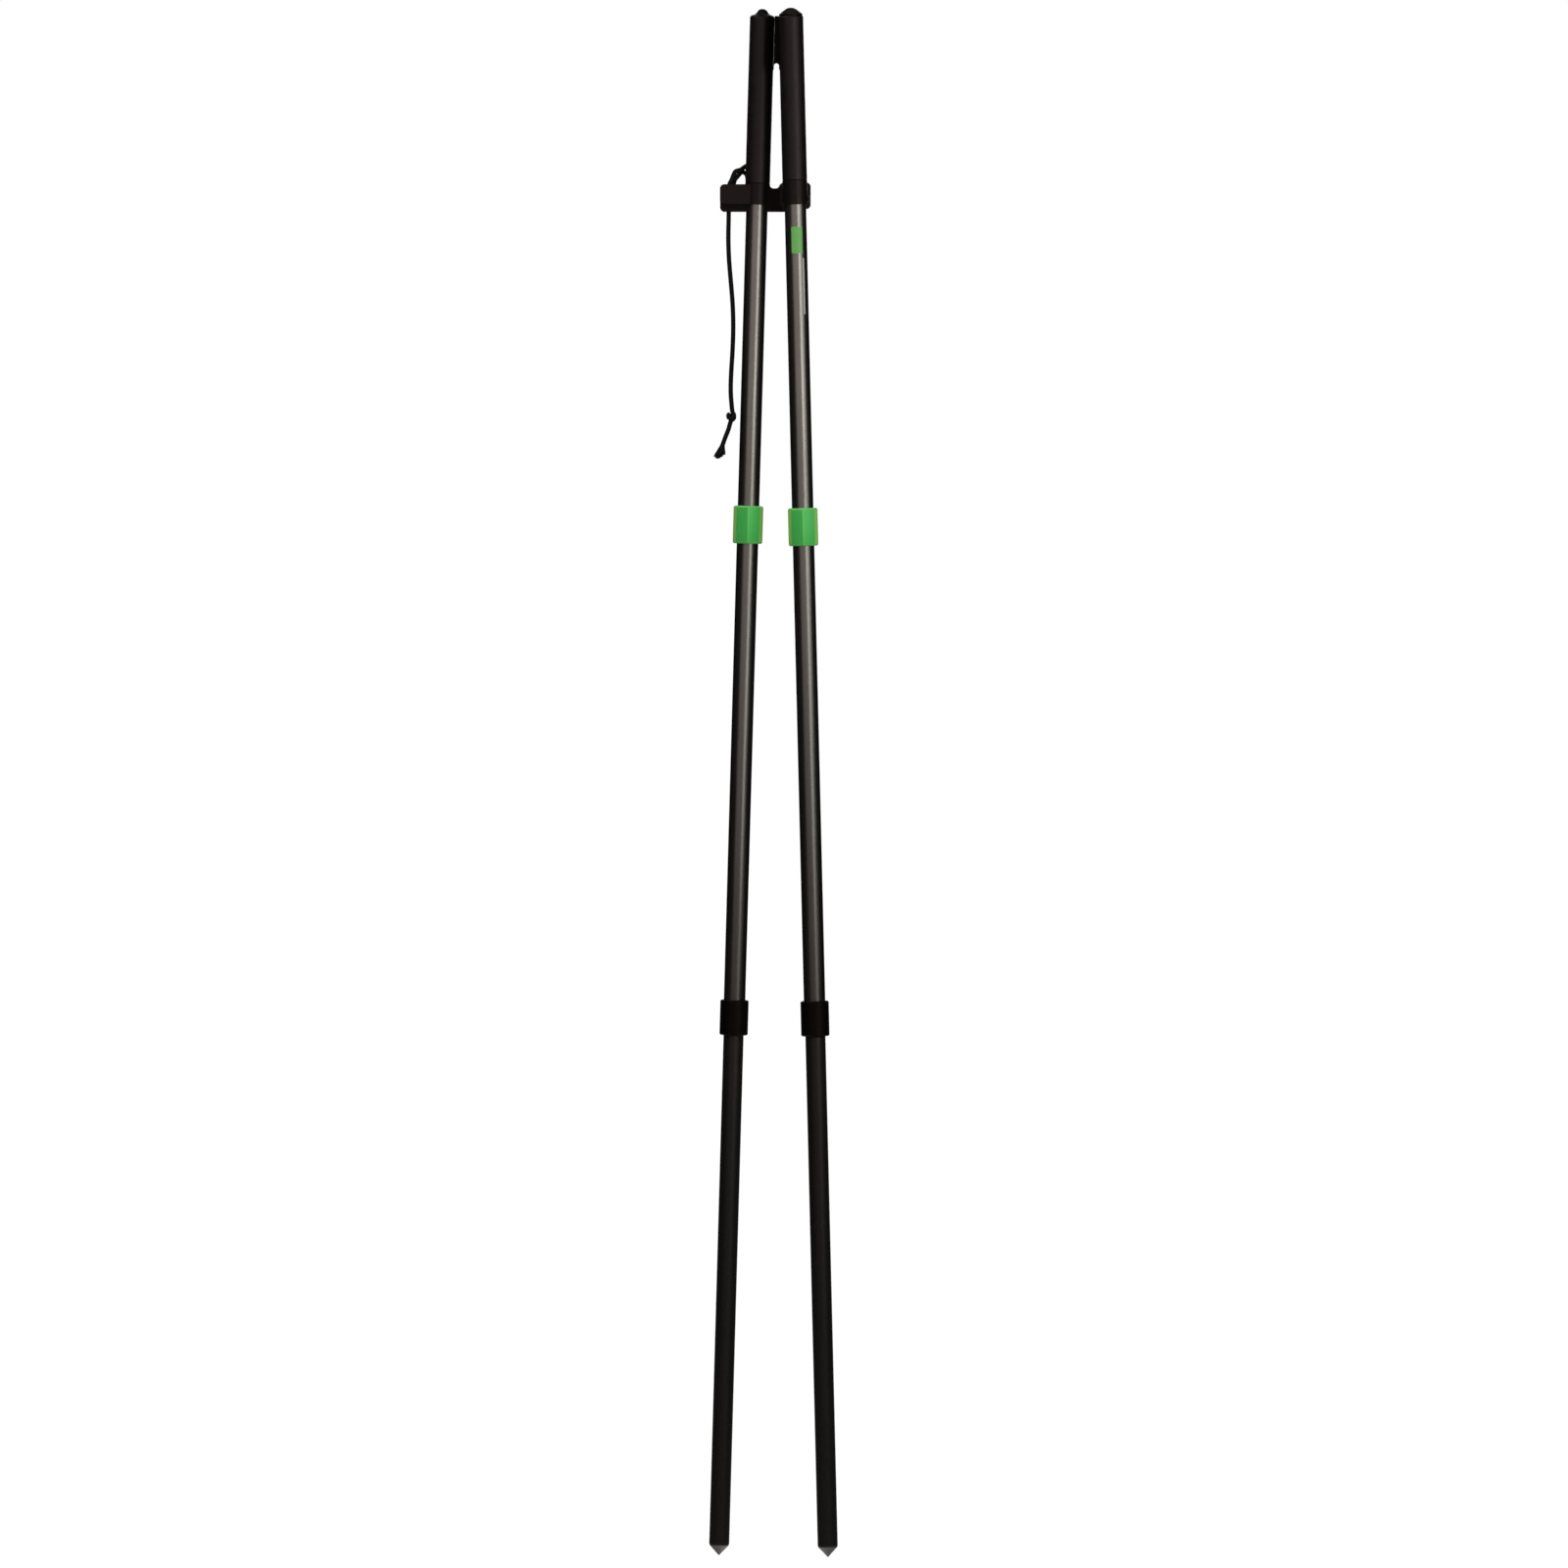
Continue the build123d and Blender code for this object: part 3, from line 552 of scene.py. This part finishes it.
def ring_faces(rings, count, start=0, joined=False):
    """Faces over rings of points. The ends are capped, or joined to each other."""
    pairs = [(ring, ring + 1) for ring in range(rings - 1)] + ([(rings - 1, 0)] if joined else [])
    faces = [
        tuple(start + ring * count + point for ring, point in (
            (low, i), (low, (i + 1) % count), (high, (i + 1) % count), (high, i)
        ))
        for low, high in pairs
        for i in range(count)
    ]
    if not joined:
        last = start + (rings - 1) * count
        faces += [tuple(range(start + count - 1, start - 1, -1)), tuple(range(last, last + count))]
    return faces


def add_piece(name, mesh, material, body, slot, *stands_for):
    """Puts a mesh in the scene as a piece that rides on a body."""
    made = bpy.data.objects.new(name, mesh)
    bpy.context.scene.collection.objects.link(made)
    mesh.materials.append(material)
    mesh.shade_smooth()
    mesh.set_sharp_from_angle(angle=SHARP_ANGLE_DRAWN)
    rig.ride(made, body)
    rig.slot(made, slot)
    if stands_for:
        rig.replaces(made, *stands_for)
    return made


def spline_line(route, resolution):
    """The points along a route's smooth NURBS spline."""
    curve = bpy.data.curves.new("route", "CURVE")
    curve.dimensions = "3D"
    spline = curve.splines.new("NURBS")
    spline.points.add(len(route) - 1)
    for point, place in zip(spline.points, route):
        point.co = (*place, 1.0)
    spline.order_u = 3
    spline.use_endpoint_u = True
    spline.resolution_u = resolution
    curve.resolution_u = resolution
    holder = bpy.data.objects.new("route", curve)
    mesh = bpy.data.meshes.new_from_object(holder)
    line = [vertex.co.copy() for vertex in mesh.vertices]
    bpy.data.meshes.remove(mesh)
    bpy.data.curves.remove(curve)
    return line


def frames_along(line):
    """Each point of a line with its distance along it and two directions across it that don't twist."""
    gone = 0.0
    across = None
    for i, point in enumerate(line):
        tangent = (line[min(i + 1, len(line) - 1)] - line[max(i - 1, 0)]).normalized()
        if across is None:
            across = tangent.orthogonal()
        else:
            gone += (point - line[i - 1]).length
        across = (across - tangent * across.dot(tangent)).normalized()
        yield point, gone, across, tangent.cross(across)


def braid_height(turn, along):
    """Height of a diamond braid, 0 between its strands and 1 on top of one."""
    first = math.sin((BRAID_STRANDS * turn + math.tau * along / BRAID_PITCH) / 2)
    second = math.sin((BRAID_STRANDS * turn - math.tau * along / BRAID_PITCH) / 2)
    over = 0.5 + 0.5 * math.tanh(5 * first * second)
    return over * abs(first) + (1 - over) * abs(second)


def braided_tube(line, radius, vertices, faces, relief, squeeze=0.0):
    """Adds a braided tube along a line to a mesh in the making, thinner half-way by the squeeze."""
    start = len(vertices)
    whole = line_length(line)
    for point, gone, across, other in frames_along(line):
        for i in range(CORD_SEGMENTS):
            turn = math.tau * i / CORD_SEGMENTS
            height = braid_height(turn, gone)
            reach = radius - BRAID_DEPTH * (1 - height) - squeeze * math.sin(math.pi * gone / whole)
            vertices.append(point + reach * (math.cos(turn) * across + math.sin(turn) * other))
            relief.append(height)
    faces += ring_faces(len(line), CORD_SEGMENTS, start)


def line_length(line):
    """The length along a line of points."""
    return sum((after - before).length for before, after in zip(line, line[1:]))


def add_cord(name, route, resolution, stands_for):
    """A braided cord along a route, and the line that it follows."""
    line = spline_line(route, resolution)
    vertices, faces, relief = [], [], []
    braided_tube(line, CORD_RADIUS, vertices, faces, relief)
    mesh = mesh_of(name, vertices, faces, relief=relief)
    return add_piece(name, mesh, CORD_FINISH, "left_upper_leg", "cord", stands_for), line


# ---------------------------------------------------------------- tie cord


def add_knot():
    """An overhand knot pulled tight, with the melted stub of the cord's other end at its left."""
    vertices, faces, relief = [], [], []
    braided_tube(spline_line(KNOT_ROUTE, 14), KNOT_STRAND_RADIUS, vertices, faces, relief, KNOT_SQUEEZE)
    start = len(vertices)
    rows, columns = 18, 28
    for row in range(1, rows):
        down = math.pi * row / rows
        for column in range(columns):
            turn = math.tau * column / columns
            place = Vector((math.sin(down) * math.cos(turn), math.sin(down) * math.sin(turn), math.cos(down)))
            lump = 1 + 0.10 * noise.noise(place * 2.3) + 0.03 * noise.noise(place * 9)
            vertices.append(Vector(STUB_CENTRE) + lump * Vector(a * b for a, b in zip(STUB_RADII, place)))
            relief.append(0.6)
    faces += ring_faces(rows - 1, columns, start)
    mesh = mesh_of("cord_knot", vertices, faces, relief=relief)
    return add_piece("cord_knot", mesh, CORD_FINISH, "left_upper_leg", "cord", "tie_cord_knot")


def add_frayed_tip():
    """The cord's flared end: yarns that spread from a heat-set neck, cut off at a slant."""
    neck = Vector(FRAY_NECK)
    end = Vector(FRAY_END)
    along = (end - neck).normalized()
    across = Vector((0, 1, 0)).cross(along).normalized()
    other = along.cross(across)
    sides, steps = 8, 9
    vertices, faces, relief = [], [], []
    for share, count, twist in YARN_RINGS:
        for number in range(count):
            turn = math.tau * number / count + twist
            jitter = Vector((noise.noise(Vector((number * 1.7, share * 9, k))) for k in (0.5, 3.5, 7.5)))
            start = len(vertices)
            outer = math.cos(turn)
            length = FRAY_LENGTH + FRAY_SLANT * share * outer + FRAY_CROWN * (1 - share**2)
            length += YARN_JITTER * jitter.z
            for step in range(steps):
                t = step / (steps - 1)
                spread = share * (FRAY_NECK_RADIUS + FRAY_FLARE * t ** 1.2)
                centre = neck + along * (length * t)
                centre += across * (spread * math.cos(turn) + 0.0005 * jitter.x * t)
                centre += other * (spread * math.sin(turn) * 0.86 + 0.0005 * jitter.y * t)
                tip = 1.0 - 0.45 * max(0.0, t - 0.8) / 0.2
                for i in range(sides):
                    bearing = math.tau * i / sides
                    outwards = math.cos(bearing) * across + math.sin(bearing) * other
                    vertices.append(centre + YARN_RADIUS * tip * outwards)
                    # The finish paints these yarns darker towards the neck, where the relief is low, as painted shade
                    # where they bunch.
                    relief.append(0.25 + 0.75 * t)
            faces += ring_faces(steps, sides, start)
    mesh = mesh_of("cord_frayed_tip", vertices, faces, relief=relief)
    return add_piece("cord_frayed_tip", mesh, CORD_FINISH, "left_upper_leg", "cord", "tie_cord_flare")


def add_tie_cord():
    """The cord's two loop strands, its hanging length, its knot and its short end."""
    outer, outer_line = add_cord("cord_outer_loop", LOOP_ROUTE, 22, "tie_cord_loop")
    inner, inner_line = add_cord("cord_inner_loop", INNER_LOOP_ROUTE, 20, "tie_cord_inner_loop")
    tail, tail_line = add_cord("cord_tail", TAIL_ROUTE, 64, "tie_cord_tail")
    short, short_line = add_cord("cord_short_end", SHORT_END_ROUTE, 28, "tie_cord_short_end")
    knot, tip = add_knot(), add_frayed_tip()
    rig.cord(
        outer, exit=LOOP_ROUTE[1], length=line_length(outer_line), diameter=2 * CORD_RADIUS,
        far_end="object", stiffness="limp", lay="loose", path=outer_line,
    )
    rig.cord(
        inner, exit=INNER_LOOP_ROUTE[1], length=line_length(inner_line), diameter=2 * CORD_RADIUS,
        far_end="object", stiffness="limp", lay="loose", path=inner_line,
    )
    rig.cord(
        tail, exit=(-0.0483, 0.0135, 1.372), length=line_length(tail_line), diameter=2 * CORD_RADIUS,
        far_end="knot", stiffness="limp", lay="hanging", path=tail_line, with_pieces=[knot],
    )
    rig.cord(
        short, exit=SHORT_END_ROUTE[0], length=line_length(short_line), diameter=2 * CORD_RADIUS,
        far_end="bare", stiffness="limp", lay="hanging", path=short_line, with_pieces=[tip],
    )


# ---------------------------------------------------------------- grips, sleeves, decals


def add_grip(side):
    """Foam grip with rounded ends and a skin that is slightly uneven, only ever inwards."""
    low, high = span(side + "_grip", side)
    outer, inner, rounding, columns = 0.0127, 0.01102, 0.0011, 96
    corner = [(math.sin(a), math.cos(a)) for a in (math.radians(15 * k) for k in range(7))]
    rows = round((high - low - 2 * rounding) / 0.0015)
    profile = [(outer - rounding * (1 - c), low + rounding * (1 - s)) for c, s in corner]
    profile += [(outer, low + rounding + (high - low - 2 * rounding) * k / rows) for k in range(1, rows)]
    profile += [(outer - rounding * (1 - c), high - rounding * (1 - s)) for s, c in corner]
    profile += [(inner, high), (inner, low)]
    vertices = []
    for radius, height in profile:
        for i in range(columns):
            turn = math.tau * i / columns
            place = Vector((math.cos(turn), math.sin(turn), 0))
            spot = Vector((place.x * outer, place.y * outer, height))
            dip = 0.5 + 0.5 * noise.noise(spot * 90) + 0.12 * (0.5 + 0.5 * noise.noise(spot * 420))
            shrink = 0.00012 * dip if radius > inner else 0.0
            vertices.append(LEGS[side] @ (place * (radius - shrink) + Vector((0, 0, height))))
    mesh = mesh_of(side + "_foam_grip", vertices, ring_faces(len(profile), columns, joined=True))
    body = side + "_upper_leg"
    made = add_piece(side + "_foam_grip", mesh, foam_finish(side), body, "grip_foam", side + "_grip")
    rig.padded(made, fill=0.9)


def add_green_sleeve(side, material):
    """Eight-sided sleeve with softened arrises, turned rims and a bore for the tubes."""
    low, high = span(side + "_green_sleeve", side)
    corner_radius, bore, bevel, rounding, columns = 0.01525, 0.01102, 0.0013, 0.00045, 64
    side_face, level = 0.0124, 0.000001
    angles = [math.radians(a) for a in (0, 52, 90, 128, 180, 232, 270, 308)]
    shape = bmesh.new()
    arris_layer = shape.faces.layers.float.new("arris")
    side_layer = shape.faces.layers.float.new("side")

    def loop(radius, height, bearings):
        return [shape.verts.new((radius * math.sin(a), -radius * math.cos(a), height)) for a in bearings]

    def lies_level(edge):
        return abs(edge.verts[0].co.z - edge.verts[1].co.z) < 10 * level

    outline = (
        (corner_radius - bevel, low), (corner_radius, low + bevel),
        (corner_radius, high - bevel), (corner_radius - bevel, high),
    )
    rings = [loop(radius, height, angles) for radius, height in outline]
    for lower, upper in zip(rings, rings[1:]):
        for i in range(len(angles)):
            shape.faces.new((lower[i], lower[i - 1], upper[i - 1], upper[i]))
    inside = [edge for edge in shape.edges if not edge.is_boundary]
    arrises = [edge for edge in inside if not lies_level(edge)]
    rims = [edge for edge in inside if lies_level(edge)]
    rounded = bmesh.ops.bevel(
        shape, geom=arrises + rims, offset=rounding, offset_type="OFFSET",
        segments=3, profile=0.5, affect="EDGES",
    )
    for face in rounded["faces"]:
        face[arris_layer] = 1.0
    shape.normal_update()
    for face in shape.faces:
        centre = face.calc_center_median()
        if abs(centre.x) > side_face and low + bevel < centre.z < high - bevel:
            face[side_layer] = 1.0
        if not low + bevel < centre.z < high - bevel:
            face[arris_layer] = 1.0
    for height in (low, high):
        outer = [
            edge for edge in shape.edges
            if edge.is_boundary and all(abs(vertex.co.z - height) < level for vertex in edge.verts)
        ]
        inner = loop(bore, height, [math.pi / 2 + math.tau * i / columns for i in range(columns)])
        ring = [shape.edges.new((inner[i - 1], inner[i])) for i in range(columns)]
        bmesh.ops.bridge_loops(shape, edges=outer + ring)
    bore_rings = [edge for edge in shape.edges if edge.is_boundary]
    bmesh.ops.bridge_loops(shape, edges=bore_rings)
    bmesh.ops.transform(shape, matrix=LEGS[side], verts=shape.verts)
    bmesh.ops.recalc_face_normals(shape, faces=shape.faces)
    name = side + "_octagon_sleeve"
    mesh = bpy.data.meshes.new(name)
    shape.to_mesh(mesh)
    shape.free()
    add_piece(name, mesh, material, side + "_upper_leg", "green_sleeve", side + "_green_sleeve")


def add_decal(name, heights, angles, thickness, material, slot):
    """A thin patch wrapped round the right upper tube, with rounded corners."""
    radius, lift_off, corner, rows, columns = 0.011, 0.00002, 0.0008, 16, 24
    low, high = heights
    left, right = (math.radians(a) for a in angles)
    vertices = []
    for layer in (radius + lift_off, radius + thickness):
        for row in range(rows + 1):
            height = low + (high - low) * (0.5 - 0.5 * math.cos(math.pi * row / rows))
            edge = min(height - low, high - height)
            inset = corner - math.sqrt(max(0.0, corner**2 - (corner - edge) ** 2)) if edge < corner else 0.0
            for column in range(columns + 1):
                turn = left + inset / radius + (right - left - 2 * inset / radius) * column / columns
                place = Vector((layer * math.sin(turn), -layer * math.cos(turn), height))
                vertices.append(LEGS["right"] @ place)
    width, layer_size = columns + 1, (rows + 1) * (columns + 1)

    def quad(row, column, lift):
        first = lift + row * width + column
        return (first, first + 1, first + 1 + width, first + width)

    faces = [quad(r, c, lift) for lift in (0, layer_size) for r in range(rows) for c in range(columns)]
    rim = list(range(columns)) + [r * width + columns for r in range(rows)]
    rim += [rows * width + c for c in range(columns, 0, -1)] + [r * width for r in range(rows, 0, -1)]
    for here, there in zip(rim, rim[1:] + rim[:1]):
        faces.append((here, there, there + layer_size, here + layer_size))
    add_piece(name, mesh_of(name, vertices, faces), material, "right_upper_leg", slot)


# ---------------------------------------------------------------- stage, lights and camera

KEY_COLOUR = (0.94, 1.0, 0.94)
FILL_COLOUR = (1.0, 0.955, 0.94)
WHITE = (1.0, 1.0, 1.0)
# Soft boxes: name, azimuth and elevation in degrees, distance, height, size, radiance and colour
LIGHTS = (
    ("key", 33, 0, 1.6, 1.5, (0.6, 0.86), 4.9, KEY_COLOUR),
    ("key_low", 33, 0, 1.6, 0.83, (0.6, 0.48), 2.0, KEY_COLOUR),
    ("key_side", 55, 0, 1.6, 1.4, (0.36, 1.0), 2.0, KEY_COLOUR),
    ("fill", -14, 0, 1.8, 1.5, (1.85, 0.86), 0.95, FILL_COLOUR),
    ("fill_low", -14, 0, 1.8, 0.83, (1.85, 0.48), 0.4, FILL_COLOUR),
    ("left_high", -62, 48, 1.8, 1.2, (1.2, 0.8), 3.2, WHITE),
    ("back", 180, 26, 2.4, 0.9, (1.7, 1.3), 2.0, WHITE),
    ("top", 180, 84, 1.8, 1.4, (1.6, 1.6), 0.8, WHITE),
)


def add_light(name, azimuth, elevation, distance, height, size, radiance, colour):
    """A soft box that faces the upright line over the origin. Azimuth 0 is the front, 90 the right side."""
    turn, rise = math.radians(azimuth), math.radians(elevation)
    away = Vector((math.sin(turn) * math.cos(rise), -math.cos(turn) * math.cos(rise), math.sin(rise)))
    lamp = bpy.data.lights.new(name, "AREA")
    lamp.shape = "RECTANGLE"
    lamp.size, lamp.size_y = size
    lamp.energy = 4 * radiance * size[0] * size[1]
    lamp.color = colour
    made = bpy.data.objects.new(name, lamp)
    bpy.context.scene.collection.objects.link(made)
    made.location = Vector((0, 0, height)) + away * distance
    made.rotation_mode = "QUATERNION"
    made.rotation_quaternion = away.to_track_quat("Z", "Y")
    made.visible_camera = False


def add_world():
    """White behind the object, and a dim studio for everything that isn't seen directly."""
    world = bpy.data.worlds.new("studio")
    world.use_nodes = True
    nodes, links = world.node_tree.nodes, world.node_tree.links
    seen = nodes["Background"]
    seen.inputs["Color"].default_value = (1, 1, 1, 1)
    dim = nodes.new("ShaderNodeBackground")
    dim.inputs["Color"].default_value = (0.03, 0.029, 0.029, 1)
    path = nodes.new("ShaderNodeLightPath")
    mix = nodes.new("ShaderNodeMixShader")
    links.new(path.outputs["Is Camera Ray"], mix.inputs[0])
    links.new(dim.outputs[0], mix.inputs[1])
    links.new(seen.outputs[0], mix.inputs[2])
    links.new(mix.outputs[0], nodes["World Output"].inputs["Surface"])
    bpy.context.scene.world = world


def add_floor():
    """Seamless white floor, low enough for the sections to be pulled out above it."""
    turns = [math.tau * i / FLOOR_COLUMNS for i in range(FLOOR_COLUMNS)]
    vertices = [(FLOOR_RADIUS * math.cos(turn), FLOOR_RADIUS * math.sin(turn), 0) for turn in turns]
    mesh = bpy.data.meshes.new("floor")
    mesh.from_pydata(vertices, [], [tuple(range(FLOOR_COLUMNS))])
    floor = bpy.data.objects.new("floor", mesh)
    floor.location.z = FLOOR_HEIGHT
    bpy.context.scene.collection.objects.link(floor)
    material = bpy.data.materials.new("floor_white")
    material.use_nodes = True
    nodes, links = material.node_tree.nodes, material.node_tree.links
    nodes.clear()

    def link(source, target):
        links.new(source, target)

    def fade(value, start, end, near_value, far_value):
        """Strength that goes from one value to another between two places."""
        made = nodes.new("ShaderNodeMapRange")
        settings = {"From Min": start, "From Max": end, "To Min": near_value, "To Max": far_value}
        for key, number in settings.items():
            made.inputs[key].default_value = number
        link(value, made.inputs["Value"])
        return made.outputs["Result"]

    place = nodes.new("ShaderNodeTexCoord")
    length = nodes.new("ShaderNodeVectorMath")
    length.operation = "LENGTH"
    link(place.outputs["Object"], length.inputs[0])
    seen = fade(length.outputs["Value"], 0.2, 1.2, 0.93, 1.02)
    # To everything but the camera the floor glows as a light: dimly near the object and brightly behind it, where it
    # shows in the object's reflections.
    near = fade(length.outputs["Value"], 0.1, 0.7, 0.3, 0.01)
    direction = nodes.new("ShaderNodeVectorMath")
    direction.operation = "NORMALIZE"
    link(place.outputs["Object"], direction.inputs[0])
    backwards = nodes.new("ShaderNodeSeparateXYZ")
    link(direction.outputs[0], backwards.inputs[0])
    behind = fade(backwards.outputs["Y"], 0.84, 0.95, 0.0, 0.8)
    dim = nodes.new("ShaderNodeMath")
    link(near, dim.inputs[0])
    link(behind, dim.inputs[1])
    path = nodes.new("ShaderNodeLightPath")
    strength = nodes.new("ShaderNodeMix")
    link(path.outputs["Is Camera Ray"], strength.inputs[0])
    link(dim.outputs[0], strength.inputs[2])
    link(seen, strength.inputs[3])
    glow = nodes.new("ShaderNodeEmission")
    link(strength.outputs[0], glow.inputs["Strength"])
    matte = nodes.new("ShaderNodeBsdfDiffuse")
    matte.inputs["Color"].default_value = (0.35, 0.35, 0.35, 1)
    both = nodes.new("ShaderNodeAddShader")
    link(glow.outputs[0], both.inputs[0])
    link(matte.outputs[0], both.inputs[1])
    out = nodes.new("ShaderNodeOutputMaterial")
    link(both.outputs[0], out.inputs["Surface"])
    mesh.materials.append(material)
    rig.stage(floor)


def add_camera():
    """A long lens in front of the object, rolled a little as the object leans in the picture."""
    data = bpy.data.cameras.new("camera")
    data.sensor_width = SENSOR_WIDTH
    data.lens = SENSOR_WIDTH * CAMERA_DISTANCE / VIEW_WIDTH
    data.clip_start, data.clip_end = 0.5, 150.0
    camera = bpy.data.objects.new("camera", data)
    bpy.context.scene.collection.objects.link(camera)
    back = Vector((0, -math.cos(CAMERA_ELEVATION), math.sin(CAMERA_ELEVATION)))
    right = Vector((math.cos(CAMERA_ROLL), 0, math.sin(CAMERA_ROLL)))
    up = back.cross(right).normalized()
    right = up.cross(back).normalized()
    turn = Matrix((right, up, back)).transposed().to_4x4()
    camera.matrix_world = Matrix.Translation(Vector(CAMERA_AIM) + back * CAMERA_DISTANCE) @ turn
    bpy.context.scene.camera = camera


# ---------------------------------------------------------------- the object

CORD_FINISH = braid_finish()
add_tie_cord()

steel = metal_finish("bright_steel", (0.42, 0.41, 0.4), (0.6, 0.59, 0.57), 0.24)
black_steel = metal_finish("black_oxide_steel", (0.012, 0.012, 0.012), (0.03, 0.029, 0.028), 0.4)
paint("bracket_body", moulded_finish(recess=(0.0072, 0.0092)))
paint("right_collar", moulded_finish("moulded_black_collar", "right"))
paint("upright_stop", moulded_finish("stop_rubber", "right", 0.25, 1800, 0.03))
paint("pivot_bolt", steel)
paint("pivot_insert", metal_finish("turned_brass", (0.5, 0.3, 0.1), (0.68, 0.45, 0.18), 0.26))
paint("bolt_head_washer", steel)
paint("pivot_washer", plastic_finish("washer_nylon", (0.5, 0.49, 0.45), (0.62, 0.61, 0.57), 0.4))

for side in SIDES:
    add_grip(side)
    green = green_finish("green_anodised_" + side, side)
    add_green_sleeve(side, green)
    tube = tube_finish(side)
    ferrule = metal_finish("bare_ferrule_" + side, (0.4, 0.4, 0.4), (0.55, 0.55, 0.54), 0.3, side, 900.0)
    tip = metal_finish("turned_tip_" + side, (0.13, 0.122, 0.122), (0.21, 0.198, 0.198), 0.34, side, 3400.0)
    anchor = plastic_finish("anchor_black_" + side, (0.012, 0.012, 0.012), (0.025, 0.025, 0.024), 0.45, side)
    finishes = {
        "upper_tube": tube,
        "middle_tube": tube,
        "lower_tube": lower_tube_finish(side),
        "black_sleeve": moulded_finish("sleeve_black_" + side, side, 0.4, 2200, 0.1),
        "top_cap": moulded_finish("cap_rubber_" + side, side, 0.5, 1800, 0.08),
        "ground_tip": tip,
        "upper_ferrule": ferrule,
        "lower_ferrule": ferrule,
        "shock_cord": shock_cord_finish(side),
        "upper_cord_anchor": anchor,
        "lower_cord_anchor": anchor,
        "collar_screw": black_steel,
    }
    for part, material in finishes.items():
        paint(f"{side}_{part}", material)

leg_height = 1 / LEGS["right"].col[2].z
add_decal(
    "label_patch", (1.3298 * leg_height, 1.3568 * leg_height), (-26.0, 34.5), 0.00009,
    plastic_finish("green_label", (0.12, 0.39, 0.08), (0.15, 0.45, 0.1), 0.42, "right"), "green_sleeve",
)
add_decal(
    "pale_pinstripe", (1.267 * leg_height, 1.325 * leg_height), (33.0, 43.0), 0.00006,
    plastic_finish("pale_print", (0.4, 0.38, 0.34), (0.52, 0.5, 0.45), 0.4, "right"), "ferrule",
)

add_world()
add_floor()
for light in LIGHTS:
    add_light(*light)
add_camera()
bpy.context.scene.view_settings.view_transform = "Standard"

visual_box = [list(corner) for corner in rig.bounds()]
with open("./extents.json", "w") as size_file:
    json.dump({"cad": cad_box, "visual": visual_box}, size_file)
